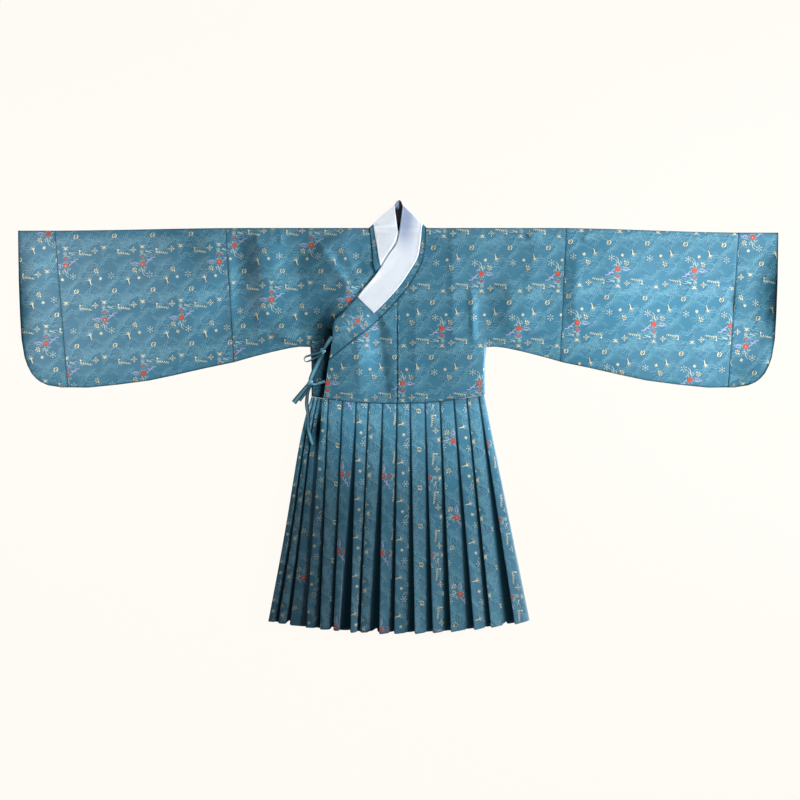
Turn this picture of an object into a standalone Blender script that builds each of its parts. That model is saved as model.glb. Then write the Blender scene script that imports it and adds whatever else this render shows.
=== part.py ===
"""Cross-collar pleated robe of brocade, laid flat on its back.

X runs along the sleeves, Y up the robe to the collar, Z away from the surface it lies on.
A place on the cloth is given as x, from the middle, and drop, below the shoulder fold.
Left and right are the wearer's: the wearer's left is at +X.
"""
import math

import bmesh
import bpy
from mathutils import Vector
from mathutils.bvhtree import BVHTree

# Driving dimensions, in metres
HALF_SPAN = 1.140            # middle to the end of a sleeve
SHOULDER_Y = 0.564           # the shoulder fold, from the middle of the whole length
COLLAR_PEAK = 0.084          # height of the collar above the shoulder fold
HEM_DROP = 1.212             # shoulder fold to the hem, at the middle
HEM_BOW = 0.236              # how fast the hem curves up to the sides
WAIST_DROP = 0.5265          # shoulder fold to the waist seam, at the middle
WAIST_BOW = 0.36
WAIST_TILT = 0.012
CENTRE_FRONT = -0.0036       # the seam down the middle of the front
CLOTH = 0.0012               # wall of a single cloth
PLEATED = 0.0010             # wall of the pressed, pleated cloth
BAND = 0.0016                # wall of the collar band, which is double
GUARD = 0.0010               # wall of the white collar guard
TIE = 0.0015                 # wall of a tie, which is double
GAP = 0.0003                 # air between pieces that touch
TIE_GAP = 0.0006             # air under a tie, which lies over curved cloth
WAIST_GAP = 0.0008           # air along the curved waist seam
NECK_DROP = 0.010            # the back neckline, below the shoulder fold
UNDERARM = 0.264             # middle to the underarm
SIDE = 0.260                 # middle to the side seam
GUARD_SHARE = (0.84, 0.74)   # how much of the band's width the guard covers, at neck and end
SEWN_SHARE = 0.995           # the band stops just short of the cloth it is sewn to
PUFF = 0.0022                # how far the slack front stands off the back
OVERLAP_RISE = 0.0040        # how far the outer front lies over the inner one
NECK_RISE = 0.0018           # how far the front bands lie over the back one
CREASE_WIDTH = 0.018         # along an edge, how soon the slack dies away

# Edge of a sleeve along its underside: x, drop
SLEEVE_LOWER = (
    (UNDERARM, 0.3570), (0.304, 0.3560), (0.370, 0.3700), (0.437, 0.3870), (0.495, 0.4035),
    (0.575, 0.4200), (0.672, 0.4420), (0.745, 0.4575), (0.840, 0.4700), (0.930, 0.4790),
    (1.010, 0.4780), (1.050, 0.4720), (1.073, 0.4620), (1.087, 0.4510), (1.100, 0.4360),
    (1.112, 0.4130), (1.121, 0.3870), (1.130, 0.3330), (1.1345, 0.2580), (1.138, 0.1620),
    (HALF_SPAN, 0.0400),
)

# Seams that cross a sleeve, for each side: x at the top, x at the bottom
SLEEVE_SEAM = {"right": (0.5166, 0.4926), "left": (0.5034, 0.4854)}
CUFF_SEAM = {"right": (1.0296, 0.9906), "left": (1.0210, 0.9894)}
TIP_DROP = {"right": 0.008, "left": 0.014}
SIGN = {"right": -1.0, "left": 1.0}

# Collar stations: x and drop of the sewn edge, then of the free edge
COLLAR_OUTER = (
    (0.0843, -0.0015, 0.0135, -0.0680),
    (0.0834, 0.0090, 0.0095, -0.0400),
    (0.0816, 0.0480, 0.0025, 0.0120),
    (0.0735, 0.0990, -0.0050, 0.0450),
    (0.0546, 0.1380, -0.0300, 0.0820),
    (0.0279, 0.1800, -0.0560, 0.1250),
    (CENTRE_FRONT, 0.2190, -0.0800, 0.1570),
    (-0.0366, 0.2550, -0.1056, 0.1860),
    (-0.0560, 0.2735, -0.1221, 0.2070),
    (-0.0880, 0.3020, -0.1450, 0.2320),
    (-0.1176, 0.3240, -0.1656, 0.2550),
    (-0.1500, 0.3500, -0.1926, 0.2820),
    (-0.2076, 0.3960, -0.1960, 0.3300),
)
COLLAR_INNER = (
    (-0.0876, 0.0000, -0.0114, -0.0680),
    (-0.0850, 0.0200, -0.0080, -0.0400),
    (-0.0816, 0.0480, -0.0020, 0.0000),
    (-0.0780, 0.0800, 0.0040, 0.0300),
    (-0.0740, 0.1200, 0.0200, 0.0700),
    (-0.0520, 0.1680, 0.0320, 0.1000),
    (-0.0200, 0.2050, 0.0540, 0.1350),
    (0.0200, 0.2440, 0.0850, 0.1720),
    (0.0600, 0.2820, 0.1180, 0.2060),
    (0.1176, 0.3240, 0.1656, 0.2550),
    (0.1550, 0.3540, 0.1926, 0.2820),
    (0.2076, 0.3960, 0.1990, 0.3300),
)
GUARD_END = 8                # the station at which the guard stops

# Folds of the slack front: start x, drop, end x, drop, half width, height
FOLDS = (
    (-0.4080, 0.020, -0.4140, 0.310, 0.020, 0.0042),
    (-0.3800, 0.030, -0.3560, 0.200, 0.026, 0.0022),
    (-0.4560, 0.020, -0.4620, 0.230, 0.030, -0.0020),
    (-0.2976, 0.110, -0.2900, 0.350, 0.024, 0.0030),
    (-0.1686, 0.010, -0.1660, 0.216, 0.018, 0.0026),
    (-0.2196, 0.051, -0.1300, 0.200, 0.018, 0.0036),
    (-0.3700, 0.318, -0.2700, 0.350, 0.016, 0.0028),
    (-0.6900, 0.010, -0.6500, 0.240, 0.040, 0.0022),
    (-0.8916, 0.080, -0.8700, 0.400, 0.045, 0.0024),
    (0.1614, 0.036, 0.1700, 0.340, 0.024, 0.0030),
    (0.0504, 0.216, 0.0560, 0.480, 0.022, 0.0022),
    (0.4200, 0.020, 0.3700, 0.300, 0.034, 0.0026),
    (0.3600, 0.310, 0.2700, 0.350, 0.018, 0.0026),
    (0.6200, 0.020, 0.6600, 0.300, 0.040, 0.0024),
    (0.8600, 0.060, 0.9000, 0.400, 0.045, 0.0022),
)

# Pleats of the outer skirt, by the raised left edge of each: x at the waist, x at the hem,
# width of the open groove beside it at the hem, height of the lifted edge at the hem
PLEATS_OUTER = (
    (-0.2286, -0.2766, 0.010, 0.0050),
    (-0.2076, -0.2346, 0.008, 0.0070),
    (-0.1656, -0.1941, 0.006, 0.0060),
    (-0.1248, -0.1434, 0.030, 0.0110),
    (-0.0876, -0.1137, 0.007, 0.0060),
    (-0.0456, -0.0576, 0.026, 0.0110),
    (-0.0021, -0.0126, 0.010, 0.0085),
    (0.0369, 0.0489, 0.018, 0.0100),
    (0.0813, 0.1029, 0.014, 0.0090),
    (0.1263, 0.1569, 0.016, 0.0095),
    (0.1674, 0.2259, 0.016, 0.0095),
    (0.2064, 0.2769, 0.012, 0.0080),
    (0.2420, 0.3474, 0.030, 0.0090),
    (0.2570, 0.3930, 0.000, 0.0000),
)
# The pleats that show beside the opening belong to the inner skirt
PLEATS_INNER = (
    (-0.2600, -0.3888, 0.010, 0.0040),
    (-0.2500, -0.3594, 0.006, 0.0050),
    (-0.2400, -0.3246, 0.008, 0.0050),
    (-0.2300, -0.2780, 0.000, 0.0000),
)
BACK_PLEATS = 12
PLEAT_ROWS = 6
UNDERLAP = 0.016             # how far a pleat's cloth runs on under the next one
LAYER = 0.0013               # from one pressed layer to the next
HIP_BULGE = 0.8              # how much sooner the left side widens below the waist
RUN_STEPS = 8
INNER_SKIRT_EDGE = (0.200, 0.300)   # the hidden edge of the inner skirt, at waist and hem
BACK_SKIRT_TOP = 0.0039      # where the inner skirt lies on the pleats of the back one
HEM_LOFT = 0.0010            # how much thicker the stack of the back pleats is at the hem

KNOT_RADIUS = 0.0065
KNOT_HEIGHT = 0.0050
KNOT_EDGE = 0.0012
TIE_STEP = 0.0065            # from one section of a tie to the next
ROUTE_SAMPLES = 24           # points read between two places of a route
RAY_TOP = 0.1                # above everything
RAYS = 8                     # steps across a place when feeling for what lies under it

# Knots: x and drop of the middle
UPPER_KNOT = (-0.2260, 0.3680)
LOWER_KNOT = (-0.2640, 0.4650)
# Ties, each from where it is sewn on or knotted: x and drop along its middle, and its widths
TIE_ROUTES = (
    ("tie_upper_root", ((-0.1990, 0.3270), (-0.2070, 0.3360), (-0.2170, 0.3510), UPPER_KNOT),
     (0.0110, 0.0095)),
    ("tie_lower_root", ((-0.2190, 0.4600), (-0.2330, 0.4640), (-0.2480, 0.4690), LOWER_KNOT),
     (0.0100, 0.0085)),
    ("tie_upper_bow", (UPPER_KNOT, (-0.2480, 0.3790), (-0.2660, 0.3860), (-0.2810, 0.3940)),
     (0.0070, 0.0100)),
    ("tie_upper_end", (UPPER_KNOT, (-0.2370, 0.3990), (-0.2490, 0.4250), (-0.2590, 0.4450)),
     (0.0085, 0.0100)),
    ("tie_lower_end", (LOWER_KNOT, (-0.2800, 0.4830), (-0.2960, 0.5030), (-0.3130, 0.5240)),
     (0.0090, 0.0125)),
    ("tie_lower_tail", (LOWER_KNOT, (-0.2720, 0.4850), (-0.2820, 0.5030), (-0.2930, 0.5190)),
     (0.0060, 0.0065)),
    ("tie_long", (LOWER_KNOT, (-0.2620, 0.4900), (-0.2680, 0.5200), (-0.2700, 0.5600),
                  (-0.2660, 0.6000), (-0.2580, 0.6400)), (0.0075, 0.0095)),
)


def clear_scene():
    for obj in list(bpy.data.objects):
        bpy.data.objects.remove(obj, do_unlink=True)


def make_material(name, colour, roughness):
    material = bpy.data.materials.new(name)
    material.use_nodes = True
    shader = material.node_tree.nodes["Principled BSDF"]
    shader.inputs["Base Color"].default_value = (*colour, 1.0)
    shader.inputs["Roughness"].default_value = roughness
    shader.inputs["Metallic"].default_value = 0.0
    return material


def smooth(value):
    """Ease from 0 to 1 as value goes from 0 to 1."""
    value = min(max(value, 0.0), 1.0)
    return value * value * (3.0 - 2.0 * value)


def mix(start, end, share):
    return start + (end - start) * share


def read_line(points, x):
    """Height of a line of (x, value) points at x, for x in rising order."""
    if x <= points[0][0]:
        return points[0][1]
    for (x0, value0), (x1, value1) in zip(points, points[1:]):
        if x <= x1:
            return mix(value0, value1, (x - x0) / (x1 - x0))
    return points[-1][1]


def waist(x):
    return WAIST_DROP - WAIST_BOW * x * x - WAIST_TILT * x


def hem(x):
    return HEM_DROP - HEM_BOW * x * x


def shoulder(x):
    """The shoulder fold sinks a little towards the end of each sleeve."""
    tip = TIP_DROP["left" if x > 0 else "right"]
    return tip * smooth((abs(x) - 0.45) / 0.60)


def lower_edge(x):
    """Lower edge of the body or, past the underarm, of the sleeve."""
    if abs(x) < 0.5 * (UNDERARM + SIDE):
        return waist(x)
    return read_line(SLEEVE_LOWER, abs(x))


def fold_height(x, drop):
    """Relief of the folds in the slack front."""
    height = 0.0
    for x0, drop0, x1, drop1, half_width, rise in FOLDS:
        along_x = x1 - x0
        along_drop = drop1 - drop0
        length = math.hypot(along_x, along_drop)
        share = ((x - x0) * along_x + (drop - drop0) * along_drop) / length ** 2
        across = ((x - x0) * along_drop - (drop - drop0) * along_x) / length
        ends = smooth(0.5 + 4.0 * share) * smooth(0.5 + 4.0 * (1.0 - share))
        height += rise * ends * math.exp(-(across / half_width) ** 2)
    return height


def slack(x, drop):
    """How far the front stands off the back."""
    edge = smooth((drop - shoulder(x)) / CREASE_WIDTH)
    edge *= smooth((lower_edge(x) - drop) / (2.0 * CREASE_WIDTH))
    if abs(x) > 1.09:
        edge *= mix(1.0, 0.45, smooth((abs(x) - 1.09) / 0.05))
    return edge * max(PUFF + fold_height(x, drop), 0.0)


def near_waist(x, drop, rise):
    return rise * smooth(1.0 - (waist(x) - drop) / 0.07)


def inner_low(x, drop):
    """Underside of the inner front."""
    rise = near_waist(x, drop, 0.0030) if abs(x) < UNDERARM else 0.0
    return CLOTH + GAP + slack(x, drop) + rise


def inner_band_low(x, drop):
    neck = NECK_RISE * (1.0 - smooth(drop / 0.030))
    return inner_low(x, drop) + neck


def outer_low(x, drop):
    """Underside of the outer front, which rises over the inner one."""
    start = mix(-0.030, 0.0, smooth((x - 0.085) / 0.055))
    ramp = smooth((drop - start) / 0.045) * smooth((0.310 - x) / 0.09)
    rise = near_waist(x, drop, 0.0024) if abs(x) < UNDERARM else 0.0
    return CLOTH + GAP + slack(x, drop) + OVERLAP_RISE * ramp + rise


def outer_band_low(x, drop):
    neck = NECK_RISE * (1.0 - smooth((drop + 0.010) / 0.040))
    return outer_low(x, drop) + neck


def back_low(x, drop):
    return 0.0


def add_object(name, bm, material, smooth_angle=40.0):
    bmesh.ops.recalc_face_normals(bm, faces=bm.faces[:])
    mesh = bpy.data.meshes.new(name)
    bm.to_mesh(mesh)
    bm.free()
    mesh.materials.append(material)
    mesh.shade_smooth()
    mesh.set_sharp_from_angle(angle=math.radians(smooth_angle))
    obj = bpy.data.objects.new(name, mesh)
    bpy.context.scene.collection.objects.link(obj)
    return obj


def wall(name, columns, rows, place, material):
    """A closed wall. place(column, row, side) gives x, drop and z, with side 0 or 1."""
    bm = bmesh.new()
    bmesh.ops.create_grid(bm, x_segments=columns, y_segments=rows, size=0.5)
    lower = list(bm.verts)
    made = bmesh.ops.extrude_face_region(bm, geom=bm.faces[:])
    upper = [item for item in made["geom"] if isinstance(item, bmesh.types.BMVert)]
    for side, verts in enumerate((lower, upper)):
        for vert in verts:
            column = round((vert.co.x + 0.5) * columns)
            row = round((vert.co.y + 0.5) * rows)
            x, drop, z = place(column, row, side)
            vert.co = (x, SHOULDER_Y - drop, z)
    return add_object(name, bm, material)


def panel(name, lines, rows, low, thickness, material):
    """A cloth between lines that run down it: x and drop at the top, then at the bottom."""
    def place(column, row, side):
        x0, drop0, x1, drop1 = lines[column]
        share = row / rows
        x = mix(x0, x1, share)
        drop = mix(drop0, drop1, share)
        return x, drop, low(x, drop) + side * thickness
    return wall(name, len(lines) - 1, rows, place, material)


def spread(start, end, step):
    """Values from start to end, about a step apart, ends left out."""
    count = max(int(round(abs(end - start) / step)), 1)
    return [mix(start, end, index / count) for index in range(1, count)]


def seam_line(side, seam, shift):
    """A line down a sleeve seam, moved by shift away from the middle."""
    top, bottom = seam[side]
    sign = SIGN[side]
    x0 = sign * (top + shift)
    x1 = sign * (bottom + shift)
    return (x0, shoulder(x0), x1, lower_edge(x1))


def upright(x, top=None, bottom=None):
    """A line straight down the cloth at x."""
    return (x, shoulder(x) if top is None else top, x, lower_edge(x) if bottom is None else bottom)


def seam_drop(stations, x):
    points = sorted((row[0], row[1]) for row in stations)
    return read_line(points, x)


def body_side_lines(side, step):
    """Lines from the sleeve seam to the side seam of the body."""
    sign = SIGN[side]
    lines = [seam_line(side, SLEEVE_SEAM, -GAP / 2)]
    stations = [row[0] for row in reversed(SLEEVE_LOWER) if row[0] < 0.48]
    for x in stations:
        lines.append(upright(sign * x))
        if x > stations[-1]:
            following = stations[stations.index(x) + 1]
            lines += [upright(sign * value) for value in spread(x, following, step)]
    lines.append(upright(sign * SIDE))
    return lines


def tidy_lines(lines):
    return sorted(lines, key=lambda line: line[0])


def build_backs(material):
    for side, sign in SIGN.items():
        lines = body_side_lines(side, 0.2)
        lines += [upright(sign * x) for x in (0.205, 0.150, 0.0885)]
        lines += [upright(sign * x, top=NECK_DROP) for x in (0.0865, 0.045, GAP / 2)]
        panel("back_" + side, tidy_lines(lines), 1, back_low, CLOTH, material)


def build_front_right(material):
    lines = body_side_lines("right", 0.034)
    lines += [upright(x) for x in spread(-SIDE, -0.088, 0.028)]
    lines.append(upright(-0.0882))
    seam_xs = [row[0] for row in COLLAR_INNER if row[0] < -0.010]
    lines += [upright(x, top=seam_drop(COLLAR_INNER, x)) for x in seam_xs]
    edge = CENTRE_FRONT - GAP / 2
    lines.append(upright(edge, top=seam_drop(COLLAR_INNER, edge)))
    panel("front_right", tidy_lines(lines), 10, inner_low, CLOTH, material)


def build_front_left(material):
    lines = body_side_lines("left", 0.034)
    lines += [upright(x) for x in spread(0.085, SIDE, 0.030)]
    lines.append(upright(0.0849))
    seam_xs = [row[0] for row in COLLAR_OUTER if row[0] > 0.010 and row[1] > 0.0]
    lines += [upright(x, top=seam_drop(COLLAR_OUTER, x)) for x in seam_xs]
    edge = CENTRE_FRONT + GAP / 2
    lines.append(upright(edge, top=seam_drop(COLLAR_OUTER, edge)))
    panel("front_left", tidy_lines(lines), 10, outer_low, CLOTH, material)


def build_lapels(material):
    edge = CENTRE_FRONT - GAP / 2
    lines = [(-0.2076, 0.3960, -0.2244, waist(-0.2244))]
    seam_xs = [row[0] for row in COLLAR_OUTER if -0.2 < row[0] < -0.010]
    lines += [upright(x, top=seam_drop(COLLAR_OUTER, x)) for x in seam_xs]
    lines.append(upright(edge, top=seam_drop(COLLAR_OUTER, edge)))
    panel("lapel_outer", tidy_lines(lines), 6, outer_low, CLOTH, material)
    edge = CENTRE_FRONT + GAP / 2
    lines = [upright(edge, top=seam_drop(COLLAR_INNER, edge))]
    seam_xs = [row[0] for row in COLLAR_INNER if 0.0 < row[0] < 0.2]
    lines += [upright(x, top=seam_drop(COLLAR_INNER, x)) for x in seam_xs]
    lines.append((0.2076, 0.3960, 0.2090, waist(0.2090)))
    panel("lapel_inner", tidy_lines(lines), 5, inner_low, CLOTH, material)


def build_sleeves(material):
    for side, sign in SIGN.items():
        for layer, low in (("back", back_low), ("front", inner_low)):
            step = 0.055 if layer == "front" else 0.3
            rows = 7 if layer == "front" else 1
            stations = [row[0] for row in SLEEVE_LOWER if 0.53 < row[0] < 0.98]
            lines = [seam_line(side, SLEEVE_SEAM, GAP / 2), seam_line(side, CUFF_SEAM, -GAP / 2)]
            lines += [upright(sign * x) for x in stations]
            for x, following in zip(stations, stations[1:]):
                lines += [upright(sign * value) for value in spread(x, following, step)]
            panel("sleeve_" + side + "_" + layer, tidy_lines(lines), rows, low, CLOTH, material)
            stations = [row[0] for row in SLEEVE_LOWER if row[0] > 1.04]
            lines = [seam_line(side, CUFF_SEAM, GAP / 2)]
            lines += [upright(sign * x) for x in stations]
            rows = 5 if layer == "front" else 1
            panel("cuff_" + side + "_" + layer, tidy_lines(lines), rows, low, CLOTH, material)


def band_wall(name, stations, rows, low, thickness, material):
    """A strip along a collar, from the free edge to the guard's edge or on to the sewn edge."""
    def place(column, row, side):
        sewn_x, sewn_drop, free_x, free_drop = stations[column]
        edge = mix(*GUARD_SHARE, min(column / GUARD_END, 1.0))
        share = (0.0, edge / 2, edge, SEWN_SHARE)[row]
        x = mix(free_x, sewn_x, share)
        drop = mix(free_drop, sewn_drop, share)
        return x, drop, low(x, drop) + side * thickness
    wall(name, len(stations) - 1, rows, place, material)


def build_collars(cloth, white):
    for name, stations, low in (("outer", COLLAR_OUTER, outer_band_low),
                                ("inner", COLLAR_INNER, inner_band_low)):
        band_wall("collar_" + name, stations, 3, low, BAND, cloth)

        def guard_low(x, drop, under=low):
            return under(x, drop) + BAND + GAP
        band_wall("guard_" + name, stations[:GUARD_END + 1], 2, guard_low, GUARD, white)

    fold_left = (COLLAR_INNER[0][0], COLLAR_INNER[0][1])
    fold_right = (COLLAR_OUTER[0][0], COLLAR_OUTER[0][1])
    rise = [fold_left, (-0.0114, -0.0680), (-0.0040, -0.0800), (0.0040, -COLLAR_PEAK),
            (0.0090, -0.0800), (0.0135, -0.0680), fold_right]
    xs = [fold_left[0] + 0.0025, -0.048, -0.0114, -0.0040, 0.0040, 0.0090, 0.0135, 0.048]
    xs.append(fold_right[0] - 0.001)
    lines = [(x, read_line(rise, x), x, NECK_DROP - GAP) for x in xs]
    panel("collar_back", lines, 2, back_low, BAND, cloth)
    xs = [-0.0680, -0.0400, -0.0114, -0.0040, 0.0040, 0.0090, 0.0135, 0.0400, 0.0650]
    lines = [(x, read_line(rise, x) + 0.0010, x, -0.0140) for x in xs]

    def guard_back_low(x, drop):
        return BAND + GAP
    panel("guard_back", lines, 2, guard_back_low, GUARD, white)


def mitred(points, half):
    """Two lines beside a line of (x, z) points, half a wall to each side of it."""
    sides = ([], [])
    for index, (x, z) in enumerate(points):
        normals = []
        for other in (index - 1, index):
            if 0 <= other < len(points) - 1:
                (x0, z0), (x1, z1) = points[other], points[other + 1]
                length = math.hypot(x1 - x0, z1 - z0)
                normals.append((-(z1 - z0) / length, (x1 - x0) / length))
        nx = sum(normal[0] for normal in normals) / len(normals)
        nz = sum(normal[1] for normal in normals) / len(normals)
        scale = half / max(nx * nx + nz * nz, 0.30)
        sides[0].append((x - nx * scale, z - nz * scale))
        sides[1].append((x + nx * scale, z + nz * scale))
    return sides


def pleat_section(edges, base, up, run_on=None):
    """Section across a pleated cloth, as (x, z) points.

    Each edge is (x, groove, lift). up is 1 where the faces look up and -1 where they look down.
    """
    points = []
    for index in range(len(edges) - 1):
        x, groove, lift = edges[index]
        following, next_groove, next_lift = edges[index + 1]
        width = following - x
        last = index == len(edges) - 2
        underlap = 0.0 if last else min(UNDERLAP, 0.38 * width)
        drop_from = following - max(0.0035, next_groove)
        drop_to = following - max(0.0018, 0.3 * next_groove)
        points.append((x, base + up * (2.0 * LAYER + lift)))
        hold = x + min(UNDERLAP, 0.38 * width) + 0.0016
        points.append((hold, base + up * (2.0 * LAYER + 0.55 * lift)))
        if last:
            points.append((drop_from, base + up * (LAYER + 0.2 * lift)))
            points.append((following, base))
            break
        points.append((drop_from, base + up * (LAYER + 0.25 * lift)))
        points.append((drop_to, base))
        points.append((following + underlap, base))
        points.append((following + underlap, base + up * LAYER))
        points.append((following, base + up * (LAYER + next_lift)))
    for share in range(1, RUN_STEPS + 1):
        if run_on is not None:
            points.append((mix(edges[-1][0], run_on, share / RUN_STEPS), base))
    return points


def skirt(name, pleats, base_waist, base_hem, up, material, run_on=None, bulge=0.0):
    """A pleated cloth from the waist seam to the hem."""
    sections = []
    for row in range(PLEAT_ROWS + 1):
        share = row / PLEAT_ROWS
        wide = share + bulge * share * (1.0 - share) ** 4
        lifted = share ** 1.3
        edges = [(mix(x0, x1, wide), groove * share, lift * lifted) for x0, x1, groove, lift in pleats]
        ends = [(x0, x1) for x0, x1, _, _ in pleats]
        if run_on is not None:
            ends += [(mix(ends[-1][0], run_on[0], step / RUN_STEPS),
                      mix(ends[-1][1], run_on[1], step / RUN_STEPS))
                     for step in range(1, RUN_STEPS + 1)]
        drops = [(mix(x0, x1, wide), mix(waist(x0) + WAIST_GAP, hem(x1), share)) for x0, x1 in ends]
        last = None if run_on is None else drops[-1][0]
        section = pleat_section(edges, mix(base_waist, base_hem, share), up, last)
        sides = mitred(section, PLEATED / 2)
        sections.append([[(x, read_line(drops, x), z) for x, z in side] for side in sides])

    def place(column, row, side):
        return sections[row][side][column]
    wall(name, len(sections[0][0]) - 1, PLEAT_ROWS, place, material)


def build_skirts(material):
    half = PLEATED / 2
    depth = 2.0 * LAYER
    count = BACK_PLEATS
    pleats = []
    for index in range(count + 1):
        share = index / count
        pleats.append((mix(-0.258, 0.255, share), mix(-0.386, 0.390, share), 0.010, 0.0))
    skirt("skirt_back", pleats, half + depth, half + depth, -1.0, material)
    low = BACK_SKIRT_TOP + half
    skirt("skirt_inner", PLEATS_INNER, low, low + HEM_LOFT, 1.0, material,
          run_on=INNER_SKIRT_EDGE, bulge=HIP_BULGE)
    low = BACK_SKIRT_TOP + PLEATED + GAP + half
    skirt("skirt_outer", PLEATS_OUTER, low, low + HEM_LOFT, 1.0, material)


def pieces_tree():
    """All the pieces made so far, for finding what a tie lies on."""
    verts = []
    faces = []
    for obj in bpy.data.objects:
        start = len(verts)
        verts += [obj.matrix_world @ vert.co for vert in obj.data.vertices]
        faces += [[start + index for index in face.vertices] for face in obj.data.polygons]
    return BVHTree.FromPolygons(verts, faces)


def ground(tree, x, drop, reach):
    """Top of what lies within reach of a place on the cloth."""
    heights = [0.0]
    shares = [2.0 * index / RAYS - 1.0 for index in range(RAYS + 1)]
    for across in shares:
        for along in shares:
            start = Vector((x + across * reach, SHOULDER_Y - drop + along * reach, RAY_TOP))
            hit = tree.ray_cast(start, Vector((0.0, 0.0, -1.0)))[0]
            if hit is not None:
                heights.append(hit.z)
    return max(heights)


def route_stations(route):
    """Evenly spaced places on a smooth line through a route, clear of the knots."""
    dense = []
    for index in range(len(route) - 1):
        before = Vector(route[max(index - 1, 0)])
        start = Vector(route[index])
        end = Vector(route[index + 1])
        after = Vector(route[min(index + 2, len(route) - 1)])
        for sample in range(ROUTE_SAMPLES):
            t = sample / ROUTE_SAMPLES
            place = (2.0 * start + (end - before) * t
                     + (2.0 * before - 5.0 * start + 4.0 * end - after) * t ** 2
                     + (3.0 * start - before - 3.0 * end + after) * t ** 3) / 2.0
            dense.append(place)
    dense.append(Vector(route[-1]))
    clear = KNOT_RADIUS + GAP
    knots = [Vector(knot) for knot in (UPPER_KNOT, LOWER_KNOT)]
    dense = [place for place in dense if min((place - knot).length for knot in knots) >= clear]
    length = sum((b - a).length for a, b in zip(dense, dense[1:]))
    count = max(round(length / TIE_STEP), 2)
    stations = [dense[0]]
    run = 0.0
    for a, b in zip(dense, dense[1:]):
        run += (b - a).length
        if run >= length * len(stations) / count and len(stations) < count:
            stations.append(b)
    return stations + [dense[-1]]


def build_tie(name, route, widths, material):
    tree = pieces_tree()
    stations = route_stations(route)
    last = len(stations) - 1
    lows = []
    for index, (x, drop) in enumerate(stations):
        reach = 0.5 * mix(*widths, index / last) + 0.6 * TIE_STEP
        lows.append(ground(tree, x, drop, reach) + TIE_GAP)

    def place(column, row, side):
        before = stations[max(column - 1, 0)]
        after = stations[min(column + 1, last)]
        along = (after - before).normalized()
        reach = mix(*widths, column / last) * (row / 2 - 0.5)
        x = stations[column].x - along.y * reach
        drop = stations[column].y + along.x * reach
        return x, drop, lows[column] + side * TIE
    wall(name, last, 2, place, material)


def build_knot(name, knot, material):
    low = ground(pieces_tree(), *knot, KNOT_RADIUS) + GAP
    bm = bmesh.new()
    bmesh.ops.create_cone(bm, cap_ends=True, segments=12, radius1=KNOT_RADIUS,
                          radius2=KNOT_RADIUS, depth=KNOT_HEIGHT)
    rims = [edge for edge in bm.edges if len(edge.link_faces) == 2
            and any(len(face.verts) > 4 for face in edge.link_faces)]
    bmesh.ops.bevel(bm, geom=rims, offset=KNOT_EDGE, segments=2, profile=0.5, affect="EDGES",
                    material=-1)
    centre = (knot[0], SHOULDER_Y - knot[1], low + KNOT_HEIGHT / 2)
    bmesh.ops.translate(bm, vec=centre, verts=bm.verts)
    add_object(name, bm, material)


def build_ties(material):
    build_knot("tie_upper_knot", UPPER_KNOT, material)
    build_knot("tie_lower_knot", LOWER_KNOT, material)
    for name, route, widths in TIE_ROUTES:
        build_tie(name, route, widths, material)


def main():
    clear_scene()
    brocade = make_material("brocade", (0.075, 0.225, 0.300), 0.45)
    pleated = make_material("pleated_brocade", (0.050, 0.160, 0.220), 0.50)
    white = make_material("guard_white", (0.780, 0.830, 0.900), 0.55)
    build_backs(brocade)
    build_front_right(brocade)
    build_front_left(brocade)
    build_lapels(brocade)
    build_sleeves(brocade)
    build_collars(brocade, white)
    build_skirts(pleated)
    build_ties(brocade)


main()
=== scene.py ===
"""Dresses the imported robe: creased brocade panels, woven figures, satin guard, knife pleats and ties.

A place on the cloth is x, from the middle, and drop, below the shoulder fold, in metres.
Left and right are the wearer's: the wearer's left is at +X.
"""
import math

import bmesh
import bpy
import numpy as np
from mathutils import Matrix, Vector
from mathutils.bvhtree import BVHTree


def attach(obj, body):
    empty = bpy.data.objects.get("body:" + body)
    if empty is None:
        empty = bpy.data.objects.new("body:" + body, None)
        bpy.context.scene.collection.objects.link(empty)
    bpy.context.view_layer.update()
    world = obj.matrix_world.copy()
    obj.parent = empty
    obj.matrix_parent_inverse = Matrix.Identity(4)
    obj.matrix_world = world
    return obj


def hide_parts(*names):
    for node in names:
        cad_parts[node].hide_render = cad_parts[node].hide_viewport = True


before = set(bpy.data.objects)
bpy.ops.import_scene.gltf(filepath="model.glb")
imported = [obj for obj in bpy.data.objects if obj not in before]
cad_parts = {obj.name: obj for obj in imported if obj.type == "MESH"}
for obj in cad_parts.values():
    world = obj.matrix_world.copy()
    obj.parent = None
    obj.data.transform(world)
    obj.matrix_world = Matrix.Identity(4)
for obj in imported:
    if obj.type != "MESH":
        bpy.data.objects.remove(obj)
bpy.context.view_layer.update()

bl_info = {
    "name": "Pleated Brocade Robe",
    "version": (1, 0, 0),
    "blender": (4, 5, 0),
    "location": "View3D > Sidebar > Robe",
    "description": "Builds a cross-collar pleated robe laid flat, with its woven figures and ties",
    "category": "Object",
}

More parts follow.
